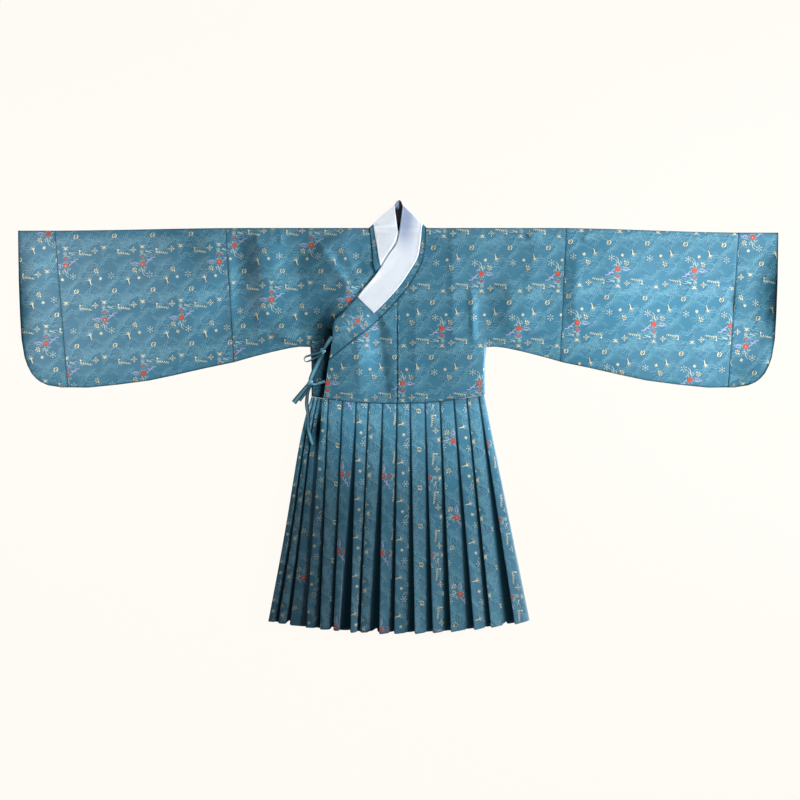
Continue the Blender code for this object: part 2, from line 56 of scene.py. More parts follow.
# Sizes of the solids that carry the cloth, in metres
SHOULDER_Y = 0.564
HEM_DROP, HEM_BOW = 1.212, 0.236
WAIST_DROP, WAIST_BOW, WAIST_TILT = 0.5265, 0.36, 0.012
CENTRE_FRONT = -0.0036
BACK_WALL = 0.0012
AIR = 0.0003
UNDERARM, SIDE, UNDERARM_DROP = 0.264, 0.260, 0.357
COLLAR_PEAK = 0.084
PUFF = 0.0032
OVERLAP_RISE = 0.0040
NECK_RISE = 0.0018
CREASE_WIDTH = 0.018
BAND_WALL = 0.0016
CLOTH_TOP = 0.0010           # top of a front above the underside of its solid
SLEEVE_LOWER = (
    (UNDERARM, 0.3570), (0.304, 0.3560), (0.370, 0.3700), (0.437, 0.3870), (0.495, 0.4035),
    (0.575, 0.4200), (0.672, 0.4420), (0.745, 0.4575), (0.840, 0.4700), (0.930, 0.4790),
    (1.010, 0.4780), (1.050, 0.4720), (1.073, 0.4620), (1.087, 0.4510), (1.100, 0.4360),
    (1.112, 0.4130), (1.121, 0.3870), (1.130, 0.3330), (1.1345, 0.2580), (1.138, 0.1620),
    (1.140, 0.0400),
)
SLEEVE_SEAM = {"right": (0.5166, 0.4926), "left": (0.5034, 0.4854)}
CUFF_SEAM = {"right": (1.0296, 0.9906), "left": (1.0210, 0.9894)}
TIP_DROP = {"right": 0.008, "left": 0.014}
SIGN = {"right": -1.0, "left": 1.0}
# Collar stations: x and drop of the sewn edge, then of the free edge
COLLAR_OUTER = (
    (0.0843, -0.0015, 0.0135, -0.0680), (0.0834, 0.0090, 0.0095, -0.0400),
    (0.0816, 0.0480, 0.0025, 0.0120), (0.0735, 0.0990, -0.0050, 0.0450),
    (0.0546, 0.1380, -0.0300, 0.0820), (0.0279, 0.1800, -0.0560, 0.1250),
    (CENTRE_FRONT, 0.2190, -0.0800, 0.1570), (-0.0366, 0.2550, -0.1056, 0.1860),
    (-0.0560, 0.2735, -0.1221, 0.2070), (-0.0880, 0.3020, -0.1450, 0.2320),
    (-0.1176, 0.3240, -0.1656, 0.2550), (-0.1500, 0.3500, -0.1926, 0.2820),
    (-0.2076, 0.3960, -0.1960, 0.3300),
)
COLLAR_INNER = (
    (-0.0876, 0.0000, -0.0114, -0.0680), (-0.0850, 0.0200, -0.0080, -0.0400),
    (-0.0816, 0.0480, -0.0020, 0.0000), (-0.0780, 0.0800, 0.0040, 0.0300),
    (-0.0740, 0.1200, 0.0200, 0.0700), (-0.0520, 0.1680, 0.0320, 0.1000),
    (-0.0200, 0.2050, 0.0540, 0.1350), (0.0200, 0.2440, 0.0850, 0.1720),
    (0.0600, 0.2820, 0.1180, 0.2060), (0.1176, 0.3240, 0.1656, 0.2550),
    (0.1550, 0.3540, 0.1926, 0.2820), (0.2076, 0.3960, 0.1990, 0.3300),
)
GUARD_SHARE = (0.84, 0.74)
GUARD_END = 8

# Folds of the slack front: start x, drop, end x, drop, half width, height. The broad ones
# follow those of the solids, and narrow creases run on them. A trough has a height below 0
FOLDS = (
    (-0.5736, 0.024, -0.5526, 0.171, 0.040, 0.0034), (-0.4086, 0.036, -0.3966, 0.276, 0.042, 0.0058),
    (-0.5080, 0.050, -0.4950, 0.330, 0.012, 0.0012), (-0.3800, 0.030, -0.3560, 0.200, 0.026, 0.0010),
    (-0.4680, 0.020, -0.4640, 0.230, 0.030, -0.0014), (-0.2976, 0.080, -0.2940, 0.320, 0.016, -0.0010),
    (-0.1686, 0.010, -0.1660, 0.216, 0.018, 0.0010), (-0.2286, 0.051, -0.1296, 0.186, 0.048, 0.0056),
    (-0.1596, 0.066, -0.1146, 0.171, 0.014, 0.0018), (-0.3700, 0.318, -0.2700, 0.350, 0.016, 0.0018),
    (-0.6900, 0.010, -0.6500, 0.240, 0.040, 0.0012), (-0.8916, 0.080, -0.8700, 0.400, 0.045, 0.0010),
    (0.1614, 0.036, 0.1700, 0.340, 0.024, 0.0010), (-0.0576, 0.276, -0.0306, 0.516, 0.013, -0.0016),
    (-0.1236, 0.321, -0.1146, 0.501, 0.010, 0.0010), (-0.0520, 0.262, -0.0220, 0.318, 0.008, 0.0016),
    (0.0504, 0.216, 0.0560, 0.480, 0.022, 0.0006), (0.2184, 0.180, 0.2230, 0.330, 0.006, 0.0012),
    (0.3414, 0.165, 0.3300, 0.300, 0.045, 0.0034), (0.4200, 0.020, 0.3700, 0.300, 0.034, 0.0014),
    (0.5364, 0.080, 0.5280, 0.280, 0.030, 0.0026), (0.3600, 0.310, 0.2700, 0.350, 0.018, 0.0014),
    (0.6200, 0.020, 0.6600, 0.300, 0.040, 0.0010), (0.8600, 0.060, 0.9000, 0.400, 0.045, 0.0008),
    (-0.4176, 0.081, -0.4190, 0.321, 0.0050, 0.0010), (-0.4266, 0.000, -0.4230, 0.055, 0.0060, 0.0016),
    (-0.3546, 0.000, -0.3516, 0.050, 0.0070, 0.0016), (-0.4900, 0.020, -0.4100, 0.052, 0.0080, 0.0012),
    (-0.3696, 0.321, -0.2646, 0.348, 0.0060, 0.0012), (-0.3450, 0.332, -0.2700, 0.330, 0.0050, 0.0010),
    (-0.7146, 0.003, -0.6846, 0.036, 0.0070, 0.0016), (-0.6900, 0.000, -0.6650, 0.050, 0.0080, 0.0012),
    (-0.8916, 0.141, -0.8910, 0.216, 0.0060, 0.0006), (0.1614, 0.036, 0.1614, 0.336, 0.0060, 0.0004),
    (0.2274, 0.200, 0.2320, 0.350, 0.0120, 0.0010), (0.0504, 0.216, 0.0504, 0.490, 0.0060, 0.0003),
    (0.4250, 0.002, 0.3900, 0.026, 0.0060, 0.0018), (0.5720, 0.000, 0.5560, 0.040, 0.0070, 0.0014),
    (1.0000, 0.165, 1.0040, 0.252, 0.0070, -0.0014), (1.0704, 0.306, 1.1304, 0.120, 0.0100, 0.0009),
    (1.0950, 0.350, 1.1340, 0.200, 0.0090, 0.0008), (1.0800, 0.200, 1.1300, 0.090, 0.0090, 0.0008),
    (-1.1300, 0.200, -1.0850, 0.100, 0.0100, 0.0010), (-1.1250, 0.330, -1.0700, 0.250, 0.0100, 0.0010),
    (-1.1200, 0.260, -1.0900, 0.190, 0.0080, 0.0008), (-0.0900, 0.440, 0.0600, 0.500, 0.0120, 0.0008),
)

# Painted shade beside the folds: x, drop, half width, half length, lean, darkness. On the
# folds themselves a painted highlight stands for the silk's gleam, and the darkness is below 0
PAINTED_SHADE_SPOTS = (
    (-0.610, 0.066, 0.035, 0.055, 0.2, 0.28), (-0.450, 0.096, 0.036, 0.085, 0.1, 0.36),
    (-0.420, 0.330, 0.110, 0.060, 0.0, 0.16), (-0.265, 0.110, 0.045, 0.110, 0.0, 0.32),
    (-0.200, 0.250, 0.030, 0.060, -0.2, 0.42), (-0.100, 0.130, 0.022, 0.055, 0.2, 0.36),
    (-0.235, 0.360, 0.034, 0.120, 0.0, 0.46), (-0.175, 0.430, 0.025, 0.090, 0.0, 0.18),
    (-0.033, 0.426, 0.018, 0.110, 0.1, 0.28), (0.065, 0.330, 0.060, 0.110, 0.0, 0.12),
    (0.130, 0.400, 0.040, 0.100, 0.0, 0.10), (0.285, 0.240, 0.030, 0.080, 0.0, 0.26),
    (0.110, 0.040, 0.100, 0.060, 0.0, 0.14), (0.507, 0.190, 0.014, 0.110, 0.0, 0.18),
    (0.999, 0.216, 0.007, 0.024, 0.1, 0.40), (1.122, 0.210, 0.034, 0.140, 0.0, 0.52),
    (1.060, 0.440, 0.070, 0.060, 0.0, 0.36), (1.080, 0.240, 0.090, 0.220, 0.0, 0.22),
    (-1.125, 0.260, 0.028, 0.150, 0.0, 0.30), (-0.084, 0.370, 0.026, 0.120, 0.0, -0.34),
    (-0.184, 0.114, 0.013, 0.065, 0.6, -0.46), (-0.354, 0.110, 0.026, 0.100, 0.0, -0.15),
    (-0.492, 0.130, 0.012, 0.130, 0.0, -0.20), (0.230, 0.276, 0.009, 0.065, 0.0, -0.34),
    (0.740, 0.200, 0.180, 0.160, 0.0, -0.10), (-0.560, 0.210, 0.060, 0.110, 0.0, -0.14),
    (-0.130, 0.280, 0.030, 0.030, -1.0, -0.20), (-1.060, 0.100, 0.050, 0.080, 0.0, -0.10),
    (-0.670, 0.018, 0.022, 0.020, 0.6, 0.30), (-0.240, 0.600, 0.012, 0.060, -0.1, 0.95),
    (-0.280, 0.690, 0.045, 0.150, -0.1, 0.42), (-0.195, 0.660, 0.024, 0.110, -0.1, 0.26),
)

# Pleats by their raised left edges: x at the waist, x at the hem, width of the open groove
# beside it at the hem, height of the lifted edge at the hem
PLEATS_OUTER = (
    (-0.2286, -0.2766, 0.010, 0.0050), (-0.2076, -0.2346, 0.008, 0.0070),
    (-0.1656, -0.1941, 0.006, 0.0060), (-0.1248, -0.1434, 0.030, 0.0110),
    (-0.0876, -0.1137, 0.007, 0.0060), (-0.0456, -0.0576, 0.026, 0.0110),
    (-0.0021, -0.0126, 0.010, 0.0085), (0.0369, 0.0489, 0.018, 0.0100),
    (0.0813, 0.1029, 0.014, 0.0090), (0.1263, 0.1569, 0.016, 0.0095),
    (0.1674, 0.2259, 0.016, 0.0095), (0.2064, 0.2769, 0.012, 0.0080),
    (0.2420, 0.3474, 0.030, 0.0090), (0.2570, 0.3930, 0.000, 0.0000),
)
PLEATS_INNER = (
    (-0.2600, -0.3888, 0.010, 0.0040), (-0.2500, -0.3594, 0.006, 0.0050),
    (-0.2400, -0.3246, 0.008, 0.0050), (-0.2300, -0.2780, 0.000, 0.0000),
)
INNER_SKIRT_EDGE = (0.200, 0.300)
BACK_PLEATS = 12
UNDERLAP = 0.016
LAYER = 0.0013
HIP_BULGE = 0.8
PLEATED_WALL = 0.0010
BACK_SKIRT_TOP = 0.0039
HEM_LOFT = 0.0010
WAIST_GAP = 0.0008
SKIRT_RISE = 0.0060          # how far the gathered skirt stands up below the waist seam

UPPER_KNOT = (-0.2260, 0.3680)
LOWER_KNOT = (-0.2640, 0.4650)

# The weave repeats every CELL_ACROSS by CELL_DOWN, and its red flower in every second cell
CELL_ACROSS = 0.1149
CELL_DOWN = 0.1640
ROW_SHIFT = -0.0030
CAMERA_HEIGHT = 5.6667       # 2.4 m of floor fill the picture
VIEW_X, VIEW_Y = 0.0054, 0.048
RAY_TOP = 0.2
THREAD_RISE = (1.0, 1.6, 2.7, 2.7, 2.2, 2.2, 2.1)   # of each kind of figure, against the ground
FIGURE_STEP = 0.000008       # between figures that lie over each other


def from_eye(red, green, blue):
    """A colour as a screen shows it, 0 to 255, as the renderer's linear colour."""
    values = []
    for value in (red, green, blue):
        value /= 255.0
        values.append(value / 12.92 if value <= 0.04045 else ((value + 0.055) / 1.055) ** 2.4)
    return tuple(values)


class RobeSizes(bpy.types.PropertyGroup):
    """Sizes of the cloth that a maker would change."""

    wall: bpy.props.FloatProperty(
        name="Cloth thickness", description="Wall of a single brocade cloth",
        default=0.0008, min=0.0003, max=0.0012, unit="LENGTH")
    crease: bpy.props.FloatProperty(
        name="Crease height", description="Height of the creases, against those of the solids",
        default=1.9, min=0.0, max=2.2, subtype="FACTOR")
    lift: bpy.props.FloatProperty(
        name="Pleat lift", description="How far the pleats' edges stand up, against the solids",
        default=1.1, min=0.5, max=1.7, subtype="FACTOR")
    grid: bpy.props.FloatProperty(
        name="Cloth grid", description="Distance between the points of a creased cloth",
        default=0.0052, min=0.003, max=0.02, unit="LENGTH")
    seam: bpy.props.FloatProperty(
        name="Seam depth", description="How far a cloth sinks along its seams",
        default=0.0006, min=0.0, max=0.0015, unit="LENGTH")
    thread: bpy.props.FloatProperty(
        name="Figure height", description="How far the woven figures stand on the cloth",
        default=0.00028, min=0.0001, max=0.0006, unit="LENGTH")


class RobeColours(bpy.types.PropertyGroup):
    """Colours of the brocade, its figures, the guard and the floor."""

    ground: bpy.props.FloatVectorProperty(
        name="Ground", description="Satin ground of the brocade", subtype="COLOR",
        default=from_eye(60, 118, 144), min=0.0, max=1.0)
    tonal: bpy.props.FloatVectorProperty(
        name="Cranes", description="Tonal cranes and clouds of the ground", subtype="COLOR",
        default=from_eye(70, 129, 152), min=0.0, max=1.0)
    line: bpy.props.FloatVectorProperty(
        name="Outlines", description="Pale lines between the cranes", subtype="COLOR",
        default=from_eye(104, 158, 180), min=0.0, max=1.0)
    gold: bpy.props.FloatVectorProperty(
        name="Gold", description="Gold weft of the small figures", subtype="COLOR",
        default=from_eye(216, 220, 196), min=0.0, max=1.0)
    pale: bpy.props.FloatVectorProperty(
        name="Pale", description="Pale weft of the stars and twigs", subtype="COLOR",
        default=from_eye(166, 190, 188), min=0.0, max=1.0)
    brown: bpy.props.FloatVectorProperty(
        name="Brown", description="Brown weft that shades the gold figures", subtype="COLOR",
        default=from_eye(84, 96, 90), min=0.0, max=1.0)
    red: bpy.props.FloatVectorProperty(
        name="Red", description="Red weft of the flowers", subtype="COLOR",
        default=from_eye(190, 78, 62), min=0.0, max=1.0)
    lilac: bpy.props.FloatVectorProperty(
        name="Lilac", description="Lilac weft beside the flowers", subtype="COLOR",
        default=from_eye(160, 168, 206), min=0.0, max=1.0)
    guard: bpy.props.FloatVectorProperty(
        name="Guard", description="White satin of the collar guard", subtype="COLOR",
        default=from_eye(229, 237, 247), min=0.0, max=1.0)
    tie: bpy.props.FloatVectorProperty(
        name="Ties", description="Folded strips of the ties", subtype="COLOR",
        default=from_eye(92, 150, 172), min=0.0, max=1.0)
    floor: bpy.props.FloatVectorProperty(
        name="Floor", description="Surface that the robe lies on", subtype="COLOR",
        default=from_eye(44, 43, 42), min=0.0, max=1.0)


# Shapes of the cloth


def ease(value):
    value = np.clip(value, 0.0, 1.0)
    return value * value * (3.0 - 2.0 * value)


def mix(start, end, share):
    return start + (end - start) * share


def waist(x):
    return WAIST_DROP - WAIST_BOW * x * x - WAIST_TILT * x


def hem(x):
    return HEM_DROP - HEM_BOW * x * x


def shoulder(x):
    """The shoulder fold sinks a little towards the end of each sleeve."""
    tip = np.where(x > 0, TIP_DROP["left"], TIP_DROP["right"])
    return tip * ease((np.abs(x) - 0.45) / 0.60)


def sleeve_edge(x):
    xs, drops = zip(*SLEEVE_LOWER)
    return np.interp(np.abs(x), xs, drops)


def lower_edge(x):
    """Lower edge of the body or, past the underarm, of the sleeve."""
    return np.where(np.abs(x) < 0.5 * (UNDERARM + SIDE), waist(x), sleeve_edge(x))


def fold_height(x, drop):
    """Relief of the folds and creases in the slack front, each steeper on one side."""
    height = np.zeros_like(x)
    for x0, drop0, x1, drop1, half_width, rise in FOLDS:
        along_x = x1 - x0
        along_drop = drop1 - drop0
        length = math.hypot(along_x, along_drop)
        share = ((x - x0) * along_x + (drop - drop0) * along_drop) / length ** 2
        across = ((x - x0) * along_drop - (drop - drop0) * along_x) / length
        ends = ease(0.5 + 4.0 * share) * ease(0.5 + 4.0 * (1.0 - share))
        gentle = across * rise * along_drop > 0.0
        reach = across / np.where(gentle, 1.7 * half_width, half_width)
        height += rise * ends * np.exp(1.15 * (0.22 - np.sqrt(reach ** 2 + 0.0484)))
    return height


def slack(x, drop, sizes):
    """How far the front stands off the back."""
    edge = ease((drop - shoulder(x)) / CREASE_WIDTH)
    edge *= ease((lower_edge(x) - drop) / (2.0 * CREASE_WIDTH))
    edge *= mix(1.0, 0.45, ease((np.abs(x) - 1.09) / 0.05))
    return edge * np.maximum(PUFF + sizes.crease * fold_height(x, drop), 0.0)


def painted_fold_shade(x, drop):
    """Painted shade of the cloth in the hollows beside its folds, and painted highlight on them where it is
    below 0.
    """
    found = np.zeros(np.shape(x))
    for x0, drop0, width, length, lean, dark in PAINTED_SHADE_SPOTS:
        across = (x - x0 - lean * (drop - drop0)) / width
        found += dark * np.exp(-across ** 2 - ((drop - drop0) / length) ** 2)
    return found


def near_waist(x, drop, rise):
    rise = rise * ease(1.0 - (waist(x) - drop) / 0.07)
    return np.where(np.abs(x) < UNDERARM, rise, 0.0)


def inner_low(x, drop, sizes):
    """Underside of the inner front."""
    return BACK_WALL + AIR + slack(x, drop, sizes) + near_waist(x, drop, 0.0030)


def inner_band_low(x, drop, sizes):
    return inner_low(x, drop, sizes) + NECK_RISE * (1.0 - ease(drop / 0.030))


def outer_low(x, drop, sizes):
    """Underside of the outer front, which rises over the inner one."""
    start = mix(-0.030, 0.0, ease((x - 0.085) / 0.055))
    ramp = ease((drop - start) / 0.045) * ease((0.310 - x) / 0.09)
    low = BACK_WALL + AIR + slack(x, drop, sizes) + near_waist(x, drop, 0.0024)
    return low + OVERLAP_RISE * ramp


def outer_band_low(x, drop, sizes):
    return outer_low(x, drop, sizes) + NECK_RISE * (1.0 - ease((drop + 0.010) / 0.040))


def sunk(distance, depth, reach=0.0035):
    """How far a cloth sinks at a distance from its seam."""
    return depth * np.exp(-(distance / reach) ** 2)


def painted_seam_shade(distance, depth=0.45, reach=0.0020):
    """Painted shade of the cloth beside a seam or an edge."""
    return depth * np.exp(-(distance / reach) ** 2)


def rolled(distance, radius=0.0012):
    """How far a folded edge rounds down at a distance from the fold."""
    share = np.clip(1.0 - distance / radius, 0.0, 1.0)
    return radius * (1.0 - np.sqrt(1.0 - share ** 2))


def spaced(start, end, step):
    """Even values from start to end, about a step apart."""
    return np.linspace(start, end, max(int(round(abs(end - start) / step)), 1) + 1)


def close_ends(values, first=True, last=True):
    """Adds values close to the ends, so that an edge can be rounded."""
    near = np.array([0.001, 0.002, 0.0035, 0.006, 0.010])
    parts = [values]
    if first:
        parts.append(near)
    if last:
        parts.append(1.0 - near)
    return np.unique(np.concatenate(parts))


# Pieces


def cloth(name, across, down, place, material, wall, gone=None, offset=-1.0, rounded=0):
    """A cloth on a grid. place(a, d) gives x, drop, z, the cloth's own u and v, and the painted shade."""
    bm = bmesh.new()
    bmesh.ops.create_grid(bm, x_segments=len(across) - 1, y_segments=len(down) - 1, size=0.5)
    if gone is not None:
        spare = []
        for face in bm.faces:
            centre = face.calc_center_median()
            column = int((centre.x + 0.5) * (len(across) - 1))
            row = len(down) - 2 - int((centre.y + 0.5) * (len(down) - 1))
            if gone(0.5 * (across[column] + across[column + 1]), 0.5 * (down[row] + down[row + 1])):
                spare.append(face)
        bmesh.ops.delete(bm, geom=spare, context="FACES")
    mesh = bpy.data.meshes.new(name)
    bm.to_mesh(mesh)
    bm.free()
    flat = np.empty(len(mesh.vertices) * 3)
    mesh.vertices.foreach_get("co", flat)
    flat = flat.reshape(-1, 3)
    columns = np.rint((flat[:, 0] + 0.5) * (len(across) - 1)).astype(int)
    rows = len(down) - 1 - np.rint((flat[:, 1] + 0.5) * (len(down) - 1)).astype(int)
    x, drop, z, u, v, depth = place(np.asarray(across)[columns], np.asarray(down)[rows])
    points = np.stack([x, SHOULDER_Y - drop, z], axis=1)
    mesh.vertices.foreach_set("co", points.ravel())
    corners = np.empty(len(mesh.loops), int)
    mesh.loops.foreach_get("vertex_index", corners)
    layer = mesh.uv_layers.new(name="Cloth")
    layer.uv.foreach_set("vector", np.stack([u, v], axis=1)[corners].ravel())
    # Painted shade beside the folds and painted highlight on them join the piece's painted shade, kept as a
    # point attribute
    if "back" not in name and "satin" not in name:
        depth = np.clip(depth + painted_fold_shade(x, drop), -0.5, 1.0)
    shade = mesh.attributes.new("fold_depth", "FLOAT", "POINT")
    shade.data.foreach_set("value", np.broadcast_to(depth, x.shape).astype(np.float32))
    mesh.update()
    mesh.shade_smooth()
    obj = bpy.data.objects.new(name, mesh)
    bpy.context.scene.collection.objects.link(obj)
    mesh.materials.append(material)
    if rounded:
        soft = obj.modifiers.new("Soft folds", "SUBSURF")
        soft.levels = soft.render_levels = rounded
        soft.boundary_smooth = "PRESERVE_CORNERS"
    thick = obj.modifiers.new("Cloth thickness", "SOLIDIFY")
    thick.thickness = wall
    thick.offset = offset
    return obj


def dress(obj, nodes):
    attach(obj, "root")
    if nodes:
        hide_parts(*nodes)
    return obj


def flat_area(across, down, place, gone=None):
    """Flat area of a cut, from its outline's own places."""
    a, d = np.meshgrid(across, down)
    x, drop = place(a.ravel(), d.ravel())[:2]
    x = x.reshape(a.shape)
    drop = drop.reshape(a.shape)
    wide = 0.5 * (np.diff(x, axis=1)[1:] + np.diff(x, axis=1)[:-1])
    tall = 0.5 * (np.diff(drop, axis=0)[:, 1:] + np.diff(drop, axis=0)[:, :-1])
    area = np.abs(wide * tall)
    if gone is not None:
        middle_a = 0.5 * (across[1:] + across[:-1])
        middle_d = 0.5 * (down[1:] + down[:-1])
        keep = [[not gone(p, q) for p in middle_a] for q in middle_d]
        area = area * np.array(keep)
    return float(area.sum())


# Woven figures. Each is drawn flat in millimetres from the middle of its cell's red flower,
# x across and y towards the collar


TONAL, LINE, GOLD, RED, LILAC, PALE, BROWN = range(7)


def add_disc(bm, x, y, radius_x, radius_y, kind, turn=0.0, corners=8):
    place = Matrix.Translation((x, y, 0.0)) @ Matrix.Rotation(math.radians(turn), 4, "Z")
    made = bmesh.ops.create_circle(bm, cap_ends=True, segments=corners, radius=1.0)
    stretch = Matrix.Diagonal((radius_x, radius_y, 1.0, 1.0))
    bmesh.ops.transform(bm, matrix=place @ stretch, verts=made["verts"])
    for face in {face for vert in made["verts"] for face in vert.link_faces}:
        face.material_index = kind


def add_ring(bm, x, y, radius, width, kind, corners=10):
    place = Matrix.Translation((x, y, 0.0))
    made = bmesh.ops.create_circle(bm, cap_ends=True, segments=corners, radius=radius, matrix=place)
    inner = list({face for vert in made["verts"] for face in vert.link_faces})
    ring = bmesh.ops.inset_region(bm, faces=inner, thickness=width, use_boundary=True)["faces"]
    bmesh.ops.delete(bm, geom=inner, context="FACES_ONLY")
    for face in ring:
        face.material_index = kind


def curve_places(points, steps):
    """Places on a smooth line through points."""
    places = []
    for index in range(len(points) - 1):
        before = np.array(points[max(index - 1, 0)], float)
        start = np.array(points[index], float)
        end = np.array(points[index + 1], float)
        after = np.array(points[min(index + 2, len(points) - 1)], float)
        for step in range(steps):
            t = step / steps
            places.append(0.5 * (2.0 * start + (end - before) * t
                                 + (2.0 * before - 5.0 * start + 4.0 * end - after) * t ** 2
                                 + (3.0 * start - before - 3.0 * end + after) * t ** 3))
    places.append(np.array(points[-1], float))
    return places


def add_stroke(bm, points, wide, narrow, kind, steps=3):
    """A stroke along a smooth line, from wide to narrow."""
    places = curve_places(points, steps)
    last = len(places) - 1
    made = bmesh.ops.create_grid(bm, x_segments=last, y_segments=1, size=0.5)
    for vert in made["verts"]:
        index = round((vert.co.x + 0.5) * last)
        side = 1.0 if vert.co.y > 0 else -1.0
        along = places[min(index + 1, last)] - places[max(index - 1, 0)]
        length = max(float(np.hypot(*along)), 1e-9)
        reach = 0.5 * mix(wide, narrow, index / last) * side
        vert.co = (places[index][0] - along[1] / length * reach,
                   places[index][1] + along[0] / length * reach, 0.0)
    for face in {face for vert in made["verts"] for face in vert.link_faces}:
        face.material_index = kind


def draw_coin(bm, x, y):
    add_disc(bm, x, y, 6.4, 6.8, BROWN)
    for side in (-1, 1):
        add_stroke(bm, ((x + 0.5 * side, y + 6.2 * side), (x + 5.2 * side, y + 4.0 * side),
                        (x + 5.0 * side, y - 2.6 * side), (x + 1.6 * side, y - 5.2 * side)),
                   1.6, 3.0, GOLD, 2)
    add_disc(bm, x - 1.2, y + 0.6, 2.0, 1.4, GOLD, 50, 6)


def draw_knot(bm, x, y):
    add_disc(bm, x, y, 5.0, 4.4, BROWN)
    for turn in (20, 80, 140):
        add_disc(bm, x, y, 6.4, 1.3, GOLD, turn, 6)
    add_disc(bm, x + 1, y + 1, 2.5, 2.5, GOLD)


def draw_shuttle(bm, x, y):
    add_stroke(bm, ((x - 2, y + 10), (x + 1, y + 3), (x + 2, y - 5)), 3.0, 6.0, BROWN, 2)
    add_stroke(bm, ((x - 4, y + 11), (x - 1, y + 3), (x, y - 4)), 1.6, 3.8, GOLD, 2)
    for dx, dy in ((-5, -9), (1, -11), (6, -10), (9, -3)):
        add_stroke(bm, ((x + 0.2 * dx, y - 3), (x + dx, y + dy)), 1.9, 1.1, GOLD, 1)


def draw_star(bm, x, y):
    for turn in (90, 30, 150):
        dx = 8.4 * math.cos(math.radians(turn))
        dy = 8.4 * math.sin(math.radians(turn))
        add_stroke(bm, ((x - dx, y - dy), (x + dx, y + dy)), 1.5, 1.5, PALE, 2)
        add_disc(bm, x + dx, y + dy, 2.0, 2.0, PALE, 0, 6)
        add_disc(bm, x - dx, y - dy, 2.0, 2.0, PALE, 0, 6)
    add_disc(bm, x, y, 2.6, 2.6, BROWN, 0, 6)


def draw_flower(bm, x, y):
    add_disc(bm, x, y, 6.6, 6.0, BROWN)
    for index in range(6):
        turn = 60 * index + 15
        dx = 5.4 * math.cos(math.radians(turn))
        dy = 5.4 * math.sin(math.radians(turn))
        add_disc(bm, x + dx, y + dy, 3.2, 1.2, GOLD, turn + 35, 6)
    add_disc(bm, x, y, 1.5, 1.5, GOLD, 0, 6)
    add_disc(bm, x - 5, y + 7, 2.8, 1.4, GOLD, -50, 6)


def draw_branch(bm, x, y):
    """A twig: a bud at one end, and a row of small arches that fades to the other."""
    for index in range(5):
        foot = x + 10 - 6.6 * index
        low = y - 4 + 1.0 * index
        add_disc(bm, foot + 0.4, low - 0.5, 2.2, 2.2, BROWN, 0, 6)
        add_stroke(bm, ((foot + 2.6, low - 2.6), (foot + 1, low + 2.2), (foot - 2.2, low + 1.6),
                        (foot - 3.2, low - 2.4)), 1.7, 1.0, GOLD, 2)
    add_stroke(bm, ((x + 15, y - 11), (x + 16, y - 5), (x + 12, y)), 1.9, 1.4, GOLD, 2)
    add_disc(bm, x + 15, y - 13, 3.6, 3.0, BROWN)
    add_disc(bm, x + 14.6, y - 12.6, 2.8, 2.5, GOLD)


def draw_lozenge(bm, x, y):
    add_disc(bm, x, y, 5.0, 5.0, BROWN, 0, 4)
    add_ring(bm, x, y, 7.0, 1.4, GOLD, 4)
    for dx, dy in ((7.8, 0), (-7.8, 0), (0, 7.8), (0, -7.8)):
        add_disc(bm, x + dx, y + dy, 1.6, 1.6, GOLD, 0, 4)
    add_disc(bm, x, y, 2.0, 2.0, GOLD, 0, 6)


def draw_sprig(bm, x, y):
    add_disc(bm, x, y - 1, 4.6, 3.8, BROWN)
    for dx, dy in ((0, 6), (-7, 3), (7, 3), (-8, -5), (8, -5), (-3, -6), (4, -6)):
        add_stroke(bm, ((x, y), (x + dx, y + dy)), 2.0, 1.2, GOLD, 1)


def draw_red_flower(bm):
    for index in range(6):
        turn = 60 * index
        dx = math.cos(math.radians(turn))
        dy = math.sin(math.radians(turn))
        add_disc(bm, 4.2 * dx, 4.2 * dy, 4.2, 3.2, RED, turn)
        add_stroke(bm, ((8.6 * dx - 3 * dy, 8.6 * dy + 3 * dx), (11.0 * dx, 11.0 * dy),
                        (8.6 * dx + 3 * dy, 8.6 * dy - 3 * dx)), 1.4, 1.4, PALE, 2)
    add_disc(bm, 0, 0, 3.4, 3.4, RED)
    add_disc(bm, 0.6, 0.8, 1.7, 1.3, GOLD, 0, 6)
    add_stroke(bm, ((-6, -20), (0, -24), (6, -20)), 2.2, 2.6, RED, 2)
    add_stroke(bm, ((-4, -18), (4, -18)), 2.4, 2.4, RED, 2)
    add_stroke(bm, ((-8, -25), (-3, -29), (4, -28), (9, -24)), 1.5, 1.5, PALE, 2)
    add_stroke(bm, ((-38, -19), (-28, -18), (-21, -11), (-13, -13)), 2.2, 4.4, LILAC, 3)
    add_stroke(bm, ((-30, -11), (-22, -12), (-16, -5), (-10, -4)), 1.4, 3.2, LILAC, 2)
    add_stroke(bm, ((37, -3), (30, 0), (24, -5), (14, -1)), 1.8, 4.2, LILAC, 3)
    add_stroke(bm, ((30, 5), (22, 3), (15, 5)), 1.4, 2.4, LILAC, 2)
    add_stroke(bm, ((-28, -33), (-19, -35), (-10, -41)), 1.8, 3.2, PALE, 2)
    add_stroke(bm, ((-36, -38), (-27, -40), (-18, -37), (-8, -36)), 1.2, 2.0, PALE, 2)
    add_stroke(bm, ((-7, 36), (0, 28), (1, 18), (6, 13)), 1.4, 4.2, PALE, 3)
    add_stroke(bm, ((-9, 28), (-4, 22), (-4, 15)), 1.2, 2.4, PALE, 2)
    add_stroke(bm, ((7, 24), (10, 15)), 1.4, 2.6, PALE, 2)
    add_stroke(bm, ((-14, 7), (-10, 12), (-4, 12)), 1.6, 2.4, PALE, 2)
    add_ring(bm, 2, -36, 5.6, 1.5, PALE, 8)
    add_disc(bm, 2, -36, 2.2, 2.2, PALE, 0, 6)
    add_stroke(bm, ((-12, -22), (-9, -28), (-2, -30)), 1.4, 1.4, PALE, 2)


def new_since(bm, old):
    return [vert for vert in bm.verts if vert not in old]


